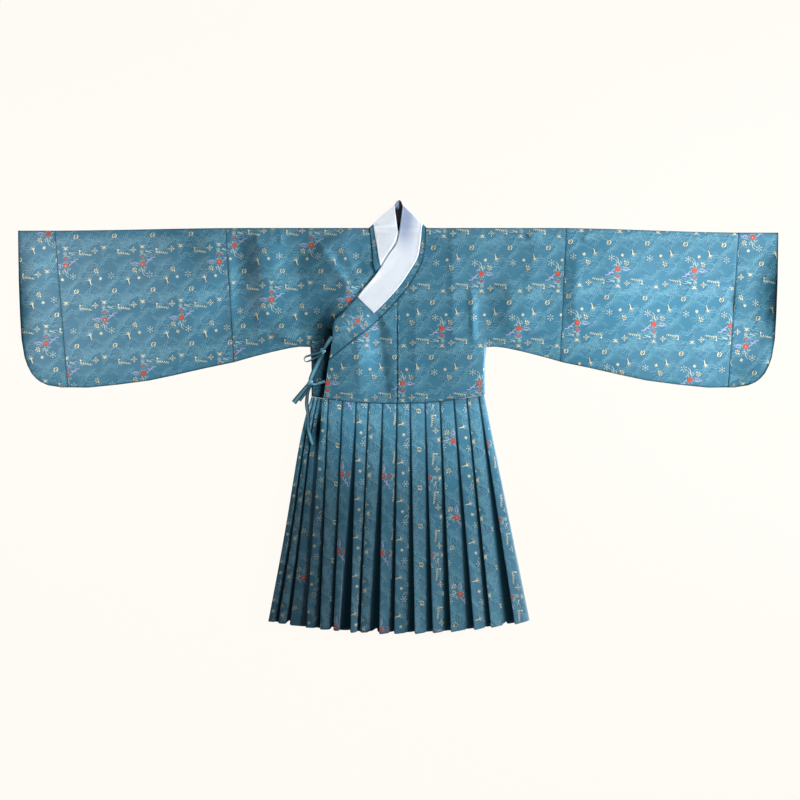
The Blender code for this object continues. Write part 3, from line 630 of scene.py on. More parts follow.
def draw_crane(bm, x, y, turn):
    """A flying crane of the ground, its wings spread from lower left to upper right."""
    old = set(bm.verts)
    add_stroke(bm, ((-4, -4), (6, 9), (12, 18), (17, 32)), 17.0, 1.6, TONAL, 3)
    add_stroke(bm, ((3, 3), (-9, -10), (-20, -19), (-35, -27)), 17.0, 1.6, TONAL, 3)
    add_stroke(bm, ((2, -5), (13, -10), (22, -20)), 8.0, 2.6, TONAL, 2)
    add_stroke(bm, ((-4, 5), (-12, 12), (-19, 10), (-25, 14)), 5.0, 2.0, TONAL, 3)
    for index in range(4):
        reach = 6.5 * index
        add_stroke(bm, ((9 + 0.45 * reach, reach), (16 + 0.25 * reach, 6 + 0.9 * reach)),
                   3.4, 1.2, TONAL, 1)
        add_stroke(bm, ((-1 - reach, -9 - 0.8 * reach), (2 - reach, -19 - 0.55 * reach)),
                   3.4, 1.2, TONAL, 1)
        add_stroke(bm, ((1 + 0.5 * reach, 8 + reach), (8 + 0.45 * reach, 6 + reach)), 1.6, 1.1, LINE, 1)
        add_stroke(bm, ((-8 - reach, -2 - 0.8 * reach), (-6 - reach, -9 - 0.7 * reach)),
                   1.6, 1.1, LINE, 1)
    add_stroke(bm, ((-9, 3), (-1, 14), (6, 22), (15, 35)), 1.9, 1.4, LINE, 3)
    add_stroke(bm, ((-9, 2), (-17, -9), (-27, -17), (-38, -25)), 1.9, 1.4, LINE, 3)
    add_stroke(bm, ((-6, 9), (-13, 15), (-20, 13), (-27, 17)), 1.6, 1.2, LINE, 3)
    add_stroke(bm, ((12, -3), (18, -9), (27, -19)), 1.6, 1.2, LINE, 2)
    place = Matrix.Translation((x, y, 0.0)) @ Matrix.Rotation(math.radians(turn), 4, "Z")
    bmesh.ops.transform(bm, matrix=place, verts=new_since(bm, old))


def draw_cloud(bm, x, y, turn):
    """A drifting cloud of the ground: curled heads and long wavy tails."""
    old = set(bm.verts)
    add_stroke(bm, ((-10, 0), (-3, 6), (4, 1), (11, 6)), 6.0, 4.0, TONAL, 3)
    add_stroke(bm, ((8, 2), (18, -5), (28, 0), (40, -7)), 3.6, 1.2, TONAL, 3)
    add_stroke(bm, ((-13, 4), (-8, 11), (0, 8), (6, 13), (14, 10), (16, 3)), 1.8, 1.6, LINE, 3)
    add_stroke(bm, ((-9, 1), (-5, 5), (-1, 2), (-4, -2)), 1.5, 1.2, LINE, 2)
    add_stroke(bm, ((5, 4), (9, 7), (12, 4), (9, 0)), 1.5, 1.2, LINE, 2)
    add_stroke(bm, ((12, -3), (20, -9), (30, -4), (40, -11), (48, -8)), 1.8, 1.2, LINE, 3)
    add_stroke(bm, ((14, 4), (24, 0), (33, 4), (42, -1)), 1.5, 1.0, LINE, 3)
    add_stroke(bm, ((-12, -3), (-20, 1), (-28, -6), (-38, -2)), 1.8, 1.2, LINE, 3)
    add_stroke(bm, ((-14, 2), (-22, 7), (-31, 1), (-36, 4)), 1.4, 1.0, LINE, 3)
    place = Matrix.Translation((x, y, 0.0)) @ Matrix.Rotation(math.radians(turn), 4, "Z")
    bmesh.ops.transform(bm, matrix=place, verts=new_since(bm, old))


def draw_repeat():
    """Two neighbouring cells of the weave, the first with the red flower."""
    bm = bmesh.new()
    draw_red_flower(bm)
    for shift in (0.0, CELL_ACROSS * 1000.0):
        draw_coin(bm, shift - 29, 78)
        draw_shuttle(bm, shift + 44, 49)
        draw_knot(bm, shift + 12, 41)
        draw_star(bm, shift - 20, 33)
        draw_flower(bm, shift + 25, 17)
        draw_branch(bm, shift + 58, -31)
        draw_lozenge(bm, shift + 27, -43)
        draw_sprig(bm, shift, -51)
        for x, y, turn in ((-50, 8, 0), (2, 76, 4), (52, 108, -8), (-6, -62, 6)):
            draw_crane(bm, shift + x, y, turn)
        for x, y, turn in ((60, 82, 38), (14, -8, 30), (44, -62, 205), (-36, 52, 216),
                           (-34, -34, 32), (36, 34, 212), (-62, 98, 30)):
            draw_cloud(bm, shift + x, y, turn)
    bmesh.ops.scale(bm, vec=(0.001, 0.001, 0.001), verts=bm.verts)
    group = 0
    seen = set()
    for vert in bm.verts:
        if vert in seen:
            continue
        group += 1
        going = [vert]
        while going:
            member = going.pop()
            if member not in seen:
                seen.add(member)
                member.co.z = FIGURE_STEP * (group % 17)
                going += [edge.other_vert(member) for edge in member.link_edges]
    mesh = bpy.data.meshes.new("Weave repeat")
    bm.to_mesh(mesh)
    bm.free()
    return mesh


def cell_centres(flower, turn, low, high):
    """Places of the red flowers whose cells reach into a box of the cloth."""
    turned = Matrix.Rotation(math.radians(turn), 2)
    across = turned @ Vector((2.0 * CELL_ACROSS, 0.0))
    down = turned @ Vector((-CELL_ACROSS + ROW_SHIFT, -CELL_DOWN))
    reach = 0.20
    centres = []
    for row in range(-14, 15):
        for column in range(-14, 15):
            x = flower[0] + column * across.x + row * down.x
            y = flower[1] + column * across.y + row * down.y
            if low[0] - reach < x < high[0] + reach and low[1] - reach < y < high[1] + reach:
                centres.append((x, y))
    return centres


def weave_on(name, under, repeat, strips, flower, turn, sizes, materials):
    """Woven figures on a cloth, cut at its seams and folds and laid on it.

    Each strip is (low, high, hold, place): a box of the cloth, hold(u, v) that draws places
    back to the strip, and place(u, v) that gives x and drop.
    """
    bm = bmesh.new()
    ends = [0]
    for low, high, _, _ in strips:
        for x, y in cell_centres(flower, turn, low, high):
            old = set(bm.verts)
            bm.from_mesh(repeat)
            place = Matrix.Translation((x, y, 0.0)) @ Matrix.Rotation(math.radians(turn), 4, "Z")
            bmesh.ops.transform(bm, matrix=place, verts=new_since(bm, old))
        ends.append(len(bm.verts))
    mesh = bpy.data.meshes.new(name)
    shade_layer = bm.verts.layers.float.new("fold_depth")
    bm.verts.index_update()
    count = len(bm.verts)
    flat = np.array([vert.co for vert in bm.verts]).reshape(-1, 3)
    moved = np.zeros(count, bool)
    far = np.zeros(count, bool)
    points = np.zeros((count, 2))
    for (_, _, hold, place), first, last in zip(strips, ends, ends[1:]):
        u, v = flat[first:last, 0], flat[first:last, 1]
        held_u, held_v = hold(u, v)
        shift = np.hypot(held_u - u, held_v - v)
        moved[first:last] = shift > 1e-7
        far[first:last] = shift > 0.006
        x, drop = place(held_u, held_v)
        points[first:last, 0] = x
        points[first:last, 1] = SHOULDER_Y - drop
    spare = [face for face in bm.faces if all(moved[vert.index] for vert in face.verts)
             or any(far[vert.index] for vert in face.verts)]
    for vert in bm.verts:
        vert.co = (points[vert.index, 0], points[vert.index, 1], 0.0)
    bmesh.ops.delete(bm, geom=spare, context="FACES")
    bmesh.ops.triangulate(bm, faces=[face for face in bm.faces if len(face.verts) > 4])
    graph = bpy.context.evaluated_depsgraph_get()
    tree = BVHTree.FromObject(under, graph)
    lain_on = under.evaluated_get(graph).data
    # Each figure takes the painted shade of the cloth that it lies on
    cloth_shades = lain_on.attributes["fold_depth"].data
    face_shade = [sum(cloth_shades[index].value for index in face.vertices) / len(face.vertices)
                  for face in lain_on.polygons]
    rise = {}
    for face in bm.faces:
        height = sizes.thread * THREAD_RISE[face.material_index]
        for vert in face.verts:
            rise[vert] = height + flat[vert.index, 2] if vert.index < count else height
    lost = []
    for vert, height in rise.items():
        start = Vector((vert.co.x, vert.co.y, RAY_TOP))
        hit, _, face, _ = tree.ray_cast(start, Vector((0.0, 0.0, -1.0)))
        if hit is None:
            hit, _, face, _ = tree.find_nearest(Vector((vert.co.x, vert.co.y, 0.01)))
            if math.hypot(hit.x - vert.co.x, hit.y - vert.co.y) > 0.003:
                lost.append(vert)
        vert.co.z = hit.z + height
        vert[shade_layer] = face_shade[face]
    bmesh.ops.delete(bm, geom=lost, context="VERTS")
    bmesh.ops.dissolve_degenerate(bm, dist=1e-5, edges=bm.edges)
    bm.normal_update()
    for face in bm.faces:
        if face.normal.z < 0.0:
            face.normal_flip()
    bm.to_mesh(mesh)
    bm.free()
    mesh.shade_smooth()
    for material in materials:
        mesh.materials.append(material)
    obj = bpy.data.objects.new(name, mesh)
    bpy.context.scene.collection.objects.link(obj)
    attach(obj, "root")
    return obj


# Finishes


def start_material(name, colour, roughness):
    material = bpy.data.materials.new(name)
    material.use_nodes = True
    nodes = material.node_tree.nodes
    shader = nodes["Principled BSDF"]
    shader.inputs["Base Color"].default_value = (*colour, 1.0)
    shader.inputs["Roughness"].default_value = roughness
    return material, nodes, material.node_tree.links, shader


def add_node(nodes, kind, **settings):
    node = nodes.new(kind)
    for key, value in settings.items():
        if key in node.inputs:
            node.inputs[key].default_value = value
        else:
            setattr(node, key, value)
    return node


def thread_bump(nodes, links, source, shader, pitch, strength):
    """Fine crossing threads: a wave each way, joined as a height."""
    heights = []
    for direction, scale in (("X", 1.0), ("Y", 0.8)):
        wave = add_node(nodes, "ShaderNodeTexWave", wave_type="BANDS", bands_direction=direction)
        wave.inputs["Scale"].default_value = scale * 0.314 / pitch
        wave.inputs["Distortion"].default_value = 0.6
        wave.inputs["Detail"].default_value = 1.0
        links.new(source, wave.inputs["Vector"])
        heights.append(wave.outputs["Fac"])
    join = add_node(nodes, "ShaderNodeMath", operation="MAXIMUM")
    links.new(heights[0], join.inputs[0])
    links.new(heights[1], join.inputs[1])
    bump = add_node(nodes, "ShaderNodeBump", Strength=strength, Distance=0.0002)
    links.new(join.outputs[0], bump.inputs["Height"])
    links.new(bump.outputs["Normal"], shader.inputs["Normal"])


def vary_colour(nodes, links, source, colour, shader, scale, amount, tint=None):
    """Cloudy colour variation and streaks along the weft."""
    cloud = add_node(nodes, "ShaderNodeTexNoise", Scale=scale, Detail=3.0, Roughness=0.6)
    links.new(source, cloud.inputs["Vector"])
    stretch = add_node(nodes, "ShaderNodeMapping")
    stretch.inputs["Scale"].default_value = (9.0, 260.0, 1.0)
    links.new(source, stretch.inputs["Vector"])
    streak = add_node(nodes, "ShaderNodeTexNoise", Scale=1.0, Detail=2.0, Roughness=0.5)
    links.new(stretch.outputs["Vector"], streak.inputs["Vector"])
    both = add_node(nodes, "ShaderNodeMath", operation="ADD")
    links.new(cloud.outputs["Fac"], both.inputs[0])
    links.new(streak.outputs["Fac"], both.inputs[1])
    ramp = add_node(nodes, "ShaderNodeMapRange")
    ramp.inputs["From Min"].default_value = 0.7
    ramp.inputs["From Max"].default_value = 1.3
    ramp.inputs["To Min"].default_value = 0.0
    ramp.inputs["To Max"].default_value = 1.0
    links.new(both.outputs[0], ramp.inputs["Value"])
    blend = add_node(nodes, "ShaderNodeMix", data_type="RGBA")
    dark = tuple(value * (1.0 - amount) for value in colour)
    light = tuple(min(value * (1.0 + amount), 1.0) for value in (tint or colour))
    blend.inputs[6].default_value = (*dark, 1.0)
    blend.inputs[7].default_value = (*light, 1.0)
    links.new(ramp.outputs["Result"], blend.inputs[0])
    links.new(blend.outputs[2], shader.inputs["Base Color"])
    return blend.outputs[2]


def paint_skirt_light(nodes, links, tone):
    """Painted light and shade below the waist: brighter just under the waist seam, darker towards the hem
    and towards the wearer's right.
    """
    apart = add_node(nodes, "ShaderNodeSeparateXYZ")
    links.new(add_node(nodes, "ShaderNodeTexCoord").outputs["Object"], apart.inputs[0])
    shares = []
    for axis, low, high, least in (("X", -0.36, 0.30, 0.40), ("Y", -0.30, 0.06, 0.0)):
        share = add_node(nodes, "ShaderNodeMapRange", interpolation_type="SMOOTHSTEP")
        share.inputs["From Min"].default_value = low
        share.inputs["From Max"].default_value = high
        share.inputs["To Min"].default_value = least
        links.new(apart.outputs[axis], share.inputs["Value"])
        shares.append(share.outputs["Result"])
    dull = add_node(nodes, "ShaderNodeMath", operation="MULTIPLY")
    dull.inputs[1].default_value = 0.84
    links.new(shares[0], dull.inputs[0])
    whole = add_node(nodes, "ShaderNodeMix", data_type="FLOAT")
    links.new(shares[1], whole.inputs[0])
    links.new(dull.outputs[0], whole.inputs[2])
    # Painted light: below the waist seam the colour is made 1.28 times brighter
    above = add_node(nodes, "ShaderNodeMapRange")
    above.inputs["From Min"].default_value = 0.0360
    above.inputs["From Max"].default_value = 0.0375
    above.inputs["To Min"].default_value = 1.28
    above.inputs["To Max"].default_value = 1.0
    links.new(apart.outputs["Y"], above.inputs["Value"])
    links.new(above.outputs["Result"], whole.inputs[3])
    dim = add_node(nodes, "ShaderNodeVectorMath", operation="SCALE")
    links.new(tone, dim.inputs[0])
    links.new(whole.outputs[0], dim.inputs["Scale"])
    return dim.outputs[0]


def paint_shade_and_gleam(nodes, links, tone, colour, shader):
    """Painted shade, darker and with less shine, where the piece's painted shade attribute is above 0, and
    painted highlight where it is below 0.
    """
    depth = add_node(nodes, "ShaderNodeAttribute", attribute_name="fold_depth")
    for shine in ("Specular IOR Level", "Sheen Weight"):
        less = add_node(nodes, "ShaderNodeMapRange")
        less.inputs["From Max"].default_value = 0.6
        less.inputs["To Min"].default_value = shader.inputs[shine].default_value
        less.inputs["To Max"].default_value = 0.0
        links.new(depth.outputs["Fac"], less.inputs["Value"])
        links.new(less.outputs["Result"], shader.inputs[shine])
    shadow = add_node(nodes, "ShaderNodeMix", data_type="RGBA")
    shadow.inputs[7].default_value = (*(value * 0.05 for value in colour), 1.0)
    links.new(depth.outputs["Fac"], shadow.inputs[0])
    links.new(tone, shadow.inputs[6])
    # Painted highlight where the attribute is below 0
    gleam = add_node(nodes, "ShaderNodeMapRange")
    gleam.inputs["From Max"].default_value = -0.5
    links.new(depth.outputs["Fac"], gleam.inputs["Value"])
    bright = add_node(nodes, "ShaderNodeMix", data_type="RGBA")
    bright.inputs[7].default_value = (*(min(value * 2.0, 0.9) for value in colour), 1.0)
    links.new(gleam.outputs["Result"], bright.inputs[0])
    links.new(shadow.outputs[2], bright.inputs[6])
    return bright.outputs[2]


def brocade_finish(name, colour):
    """Silk brocade ground: satin threads with a cloudy tone and a soft sheen."""
    material, nodes, links, shader = start_material(name, colour, 0.46)
    source = add_node(nodes, "ShaderNodeUVMap", uv_map="Cloth").outputs["UV"]
    tone = vary_colour(nodes, links, source, colour, shader, 14.0, 0.10)
    thread_bump(nodes, links, source, shader, 0.0011, 0.35)
    shader.inputs["Sheen Weight"].default_value = 0.18
    shader.inputs["Sheen Roughness"].default_value = 0.35
    shader.inputs["Sheen Tint"].default_value = (0.55, 0.80, 1.0, 1.0)
    shader.inputs["Specular IOR Level"].default_value = 0.42
    shader.inputs["Anisotropic"].default_value = 0.35
    # Painted shade and highlight from the attribute, and painted light and shade below the waist
    tone = paint_shade_and_gleam(nodes, links, paint_skirt_light(nodes, links, tone), colour, shader)
    links.new(tone, shader.inputs["Base Color"])
    return material


def figure_finish(name, colour, roughness, sheen, metallic=0.0):
    """Floating weft threads of a woven figure."""
    material, nodes, links, shader = start_material(name, colour, roughness)
    source = add_node(nodes, "ShaderNodeTexCoord").outputs["Object"]
    tone = vary_colour(nodes, links, source, colour, shader, 90.0, 0.14)
    thread_bump(nodes, links, source, shader, 0.0008, 0.4)
    shader.inputs["Sheen Weight"].default_value = sheen
    shader.inputs["Metallic"].default_value = metallic
    # Painted shade and highlight from the attribute, and painted light and shade below the waist
    tone = paint_shade_and_gleam(nodes, links, paint_skirt_light(nodes, links, tone), colour, shader)
    links.new(tone, shader.inputs["Base Color"])
    return material


def guard_finish(name, colour):
    """White satin: smooth and cool, with a faint weave, and thin enough to let light through."""
    material, nodes, links, shader = start_material(name, colour, 0.38)
    shader.subsurface_method = "BURLEY"
    shader.inputs["Subsurface Weight"].default_value = 0.8
    shader.inputs["Subsurface Radius"].default_value = (1.0, 1.0, 1.0)
    shader.inputs["Subsurface Scale"].default_value = 0.006
    source = add_node(nodes, "ShaderNodeUVMap", uv_map="Cloth").outputs["UV"]
    tone = vary_colour(nodes, links, source, colour, shader, 22.0, 0.03)
    # Painted shade: lilac where the attribute reaches 0.5, then a near-black painted shadow towards 1
    depth = add_node(nodes, "ShaderNodeAttribute", attribute_name="fold_depth")
    for first, last, shade in ((0.0, 0.5, (150, 170, 205)), (0.5, 1.0, (16, 18, 28))):
        share = add_node(nodes, "ShaderNodeMapRange")
        share.inputs["From Min"].default_value = first
        share.inputs["From Max"].default_value = last
        links.new(depth.outputs["Fac"], share.inputs["Value"])
        shadow = add_node(nodes, "ShaderNodeMix", data_type="RGBA")
        shadow.inputs[7].default_value = (*from_eye(*shade), 1.0)
        links.new(share.outputs["Result"], shadow.inputs[0])
        links.new(tone, shadow.inputs[6])
        tone = shadow.outputs[2]
    links.new(tone, shader.inputs["Base Color"])
    thread_bump(nodes, links, source, shader, 0.0009, 0.12)
    shader.inputs["Sheen Weight"].default_value = 0.15
    shader.inputs["Specular IOR Level"].default_value = 0.5
    return material


def finishes(context):
    """The robe's materials, made once."""
    colours = context.scene.robe_colours
    if "Brocade" not in bpy.data.materials:
        brocade_finish("Brocade", colours.ground)
        brocade_finish("Pleated brocade", colours.ground)
        guard_finish("Guard satin", colours.guard)
        figure_finish("Tie brocade", colours.tie, 0.36, 0.3)
        figure_finish("Weave tonal", colours.tonal, 0.42, 0.2)
        figure_finish("Weave outline", colours.line, 0.42, 0.2)
        figure_finish("Weave gold", colours.gold, 0.38, 0.1, metallic=0.15)
        figure_finish("Weave red", colours.red, 0.45, 0.2)
        figure_finish("Weave lilac", colours.lilac, 0.45, 0.2)
        figure_finish("Weave pale", colours.pale, 0.42, 0.2)
        figure_finish("Weave brown", colours.brown, 0.5, 0.1)
    return bpy.data.materials


def figure_set(context):
    kept = finishes(context)
    names = ("Weave tonal", "Weave outline", "Weave gold", "Weave red", "Weave lilac",
             "Weave pale", "Weave brown")
    return [kept[name] for name in names]


def weave_repeat():
    if "Weave repeat" not in bpy.data.meshes:
        draw_repeat()
    return bpy.data.meshes["Weave repeat"]


# Panels


def panel_strip(left, right, top, bottom, box):
    """One strip that is the whole panel, in x and height, drawn back to its seams."""
    inset = 0.0012

    def hold(u, v):
        drop = -v
        u = np.clip(u, left(drop) + inset, right(drop) - inset)
        drop = np.clip(drop, top(u) + inset, bottom(u) - inset)
        return u, -drop

    def place(u, v):
        return u, -v
    x0, drop0, x1, drop1 = box
    return ((x0, -drop1), (x1, -drop0), hold, place)


def seam_x(side, seam):
    top, bottom = seam[side]

    def x_at(drop):
        sign = SIGN[side]
        foot = float(sleeve_edge(np.array(bottom)))
        return sign * mix(top, bottom, np.clip(drop / foot, 0.0, 1.0))
    return x_at


def body_front(name, side, stations, low_of, sizes, material):
    """Half of the body's front, from the sleeve seam to the middle."""
    sign = SIGN[side]
    top_x, bottom_x = SLEEVE_SEAM[side]
    neck = abs(stations[0][0])
    middle = CENTRE_FRONT + sign * AIR / 2
    sewn = sorted((row[0], row[1]) for row in stations)
    sewn_x, sewn_drop = (np.array(values) for values in zip(*sewn))
    step = sizes.grid
    edge = np.array([0.0005, 0.0012, 0.0022, 0.0036])
    steep = np.abs(stations[4][0])
    parts = [spaced(UNDERARM, top_x, step), top_x - edge, spaced(neck + 0.0004, UNDERARM, step),
             spaced(steep, neck, 0.0012), spaced(sign * middle, steep, step)]
    across = np.unique(np.round(np.concatenate(parts), 6))
    across = np.unique(np.concatenate([across[across > sign * middle], [sign * middle],
                                       sign * middle + edge])) * sign
    across.sort()
    upper = close_ends(spaced(0.0, 1.0, step / 0.40))
    lower = close_ends(spaced(0.0, 1.0, step / 0.16), first=False)
    down = np.concatenate([upper, 1.0 + lower[1:]])
    lean = bottom_x - top_x

    def seam_top(x):
        fold = shoulder(x)
        return np.where(np.abs(x) < neck, np.interp(x, sewn_x, sewn_drop), fold)

    def place(a, d):
        share = np.minimum(d, 1.0)
        outward = ease((np.abs(a) - 0.28) / (top_x - 0.28))
        foot = sign * (np.abs(a) + lean * outward)
        under = np.where(np.abs(a) <= UNDERARM, UNDERARM_DROP, sleeve_edge(foot))
        x = mix(a, foot, share)
        drop = mix(seam_top(a), under, share)
        below = np.clip(d - 1.0, 0.0, 1.0)
        x = x * (1.0 - (1.0 - SIDE / UNDERARM) * ease(below * 3.0) * np.abs(a) / UNDERARM)
        drop = np.where(d > 1.0, mix(UNDERARM_DROP, waist(x), below), drop)
        z = low_of(x, drop, sizes) + CLOTH_TOP
        z -= sunk(np.abs(a - sign * top_x), sizes.seam)
        z -= sunk(np.abs(x - middle), sizes.seam)
        z -= rolled(drop - shoulder(x)) * (np.abs(x) > neck)
        z -= rolled(sleeve_edge(x) - drop) * (np.abs(x) > UNDERARM)
        z -= rolled(np.abs(SIDE - np.abs(x))) * (drop > UNDERARM_DROP)
        z = np.maximum(z, BACK_WALL + 0.0002)
        # Painted shade along the seams, the waist and the folded edges
        shade = painted_seam_shade(np.abs(a - sign * top_x)) + painted_seam_shade(np.abs(x - middle), 0.20)
        shade += painted_seam_shade(np.abs(drop - waist(x)), 0.5, 0.003) * (np.abs(x) < UNDERARM)
        shade += np.where(np.abs(x) > neck, painted_seam_shade(drop - shoulder(x), 0.6, 0.0024), 0.0)
        shade += np.where(np.abs(x) > UNDERARM, painted_seam_shade(sleeve_edge(x) - drop, 0.6, 0.003), 0.0)
        if sign < 0:
            # Painted shadow beside the outer lapel's edge, and a fainter painted shade further left
            lip = mix(-0.2076, -0.2244, np.clip((drop - 0.396) / 0.112, 0.0, 1.0)) - x
            lip = np.maximum(lip, 0.0)
            shade += ease((drop - 0.290) / 0.045) * ease(1.2 - lip / 0.015)
            shade += 0.42 * ease((drop - 0.200) / 0.12) * ease(1.0 - lip / 0.11)
        else:
            # Painted shade below the neck's sewn edge
            shade += np.where(np.abs(x) < neck, painted_seam_shade((drop - seam_top(x)) * 0.6, 0.6), 0.0)
        return x, drop, z, x, -drop, np.clip(shade, 0.0, 1.0)

    def gone(a, d):
        return d > 1.0 and abs(a) > UNDERARM
    obj = cloth(name, across, down, place, material, sizes.wall, gone)
    seam = seam_x(side, SLEEVE_SEAM)

    def body_bottom(x):
        return np.where(np.abs(x) < SIDE - 0.001, waist(x), sleeve_edge(x))

    def left(drop):
        return seam(drop) if sign < 0 else np.full_like(drop, middle)

    def right(drop):
        return seam(drop) if sign > 0 else np.full_like(drop, middle)
    box = (min(sign * top_x, middle), 0.0, max(sign * top_x, middle), 0.53)
    strip = panel_strip(left, right, seam_top, body_bottom, box)
    return obj, strip, flat_area(across, down, place, gone)


def lapel(name, sign, stations, low_of, side_line, sizes, material):
    """The overlap that is sewn past the middle of a front."""
    middle = CENTRE_FRONT - sign * AIR / 2
    sewn_x, sewn_drop = (np.array(v) for v in zip(*sorted((row[0], row[1]) for row in stations)))
    x_top, drop_top, x_low = side_line
    span = abs(x_top - middle)
    across = close_ends(spaced(0.0, 1.0, sizes.grid / span))
    down = close_ends(spaced(0.0, 1.0, sizes.grid / 0.25))

    def place(a, d):
        top_x = mix(middle, x_top, a)
        top = np.where(a > 0.999, drop_top, np.interp(top_x, sewn_x, sewn_drop))
        foot = mix(middle, x_low, a)
        x = mix(top_x, foot, d)
        drop = mix(top, waist(foot), d)
        z = low_of(x, drop, sizes) + CLOTH_TOP
        z -= sunk(np.abs(x - middle), sizes.seam)
        # Painted shade along the middle seam, the collar seam and the waist
        shade = painted_seam_shade(np.abs(x - middle), 0.10) + painted_seam_shade((drop - top) * 0.6, 0.25)
        shade += painted_seam_shade(waist(foot) - drop, 0.5, 0.003)
        return x, drop, z, x, -drop, np.clip(shade, 0.0, 1.0)
    obj = cloth(name, across if x_top > middle else across[::-1], down, place, material,
                sizes.wall)

    def edge_x(drop):
        return mix(x_top, x_low, np.clip((drop - drop_top) / (waist(x_low) - drop_top), 0.0, 1.0))

    def left(drop):
        return edge_x(drop) if x_top < middle else np.full_like(drop, middle)

    def right(drop):
        return edge_x(drop) if x_top > middle else np.full_like(drop, middle)

    def top(x):
        return np.interp(x, sewn_x, sewn_drop)
    box = (min(x_top, x_low, middle), 0.2, max(x_top, x_low, middle), 0.53)
    return obj, panel_strip(left, right, top, waist, box), flat_area(across, down, place)


def sleeve_front(name, side, sizes, material):
    sign = SIGN[side]
    top0, bottom0 = SLEEVE_SEAM[side]
    top1, bottom1 = CUFF_SEAM[side]
    across = close_ends(spaced(0.0, 1.0, sizes.grid / 0.5))
    down = close_ends(spaced(0.0, 1.0, sizes.grid / 0.45))

    def place(a, d):
        head = sign * mix(top0, top1, a)
        foot = sign * mix(bottom0, bottom1, a)
        x = mix(head, foot, d)
        drop = mix(shoulder(head), sleeve_edge(foot), d)
        z = inner_low(x, drop, sizes) + CLOTH_TOP
        z -= sunk(a * 0.5, sizes.seam) + sunk((1.0 - a) * 0.5, sizes.seam)
        z -= rolled(drop - shoulder(x)) + rolled(sleeve_edge(x) - drop)
        # Painted shade along the seams and the folded edges
        shade = painted_seam_shade(a * 0.5) + painted_seam_shade((1.0 - a) * 0.5)
        shade += painted_seam_shade(drop - shoulder(x), 0.6, 0.0024)
        shade += painted_seam_shade(sleeve_edge(x) - drop, 0.7, 0.004)
        return (x, drop, np.maximum(z, BACK_WALL + 0.0002), x, -drop, np.clip(shade, 0.0, 1.0))
    obj = cloth(name, across if sign > 0 else across[::-1], down, place, material, sizes.wall)
    inner = seam_x(side, SLEEVE_SEAM)
    outer = seam_x(side, CUFF_SEAM)
    left, right = (inner, outer) if sign > 0 else (outer, inner)
    low, high = sorted((sign * bottom0, sign * top1))
    strip = panel_strip(left, right, shoulder, sleeve_edge, (low, 0.0, high, 0.48))
    return obj, strip, flat_area(across, down, place)


def sleeve_end(drop):
    """How far out the sleeve reaches at a drop."""
    xs, drops = zip(*reversed(SLEEVE_LOWER[10:]))
    return np.interp(drop, drops, xs)


def cuff_place(side, z_of):
    sign = SIGN[side]
    top, bottom = CUFF_SEAM[side]

    def place(a, d):
        seam = mix(top, bottom, d)
        drop = mix(shoulder(sign * seam), 0.4785, 1.0 - (1.0 - d) ** 1.6)
        drop = np.minimum(drop, 0.4785)
        seam = mix(top, bottom, drop / 0.4785)
        x = sign * mix(seam, sleeve_end(drop), a)
        drop = np.minimum(drop + (1.0 - d) * (shoulder(x) - shoulder(sign * seam)), 0.4785)
        near_end = np.abs(sleeve_end(drop) - np.abs(x))
        # Painted shade along the seam, the folded edges and the sleeve's end
        shade = painted_seam_shade(a * 0.12) + painted_seam_shade(drop - shoulder(x), 0.6, 0.0024)
        shade += painted_seam_shade(near_end, 0.6, 0.005)
        shade += painted_seam_shade(near_end, 0.25, 0.030) * ease(drop / 0.12) * ease((0.40 - drop) / 0.10)
        shade += painted_seam_shade(sleeve_edge(x) - drop, 0.6, 0.005) * (np.abs(x) < 1.06)
        return x, drop, z_of(x, drop, a), x, -drop, np.clip(shade, 0.0, 1.0)
    return place


def cuff_front(name, side, sizes, material):
    sign = SIGN[side]

    def z_of(x, drop, a):
        z = inner_low(x, drop, sizes) + CLOTH_TOP
        z -= sunk(a * 0.12, sizes.seam)
        z -= rolled(drop - shoulder(x)) + rolled((1.0 - a) * 0.12, 0.0008)
        z -= rolled(sleeve_edge(x) - drop) * (np.abs(x) < 1.06)
        return np.maximum(z, BACK_WALL + 0.0002)
    across = close_ends(spaced(0.0, 1.0, sizes.grid / 0.13))
    down = close_ends(spaced(0.0, 1.0, sizes.grid / 0.48))
    place = cuff_place(side, z_of)
    obj = cloth(name, across if sign > 0 else across[::-1], down, place, material, sizes.wall)
    seam = seam_x(side, CUFF_SEAM)

    def end(drop):
        return sign * (sleeve_end(np.clip(drop, 0.0, 0.478)) - 0.002)
    left, right = (seam, end) if sign > 0 else (end, seam)
    low, high = sorted((sign * CUFF_SEAM[side][1], sign * 1.14))
    strip = panel_strip(left, right, shoulder, sleeve_edge, (low, 0.0, high, 0.48))
    return obj, strip, flat_area(across, down, place)


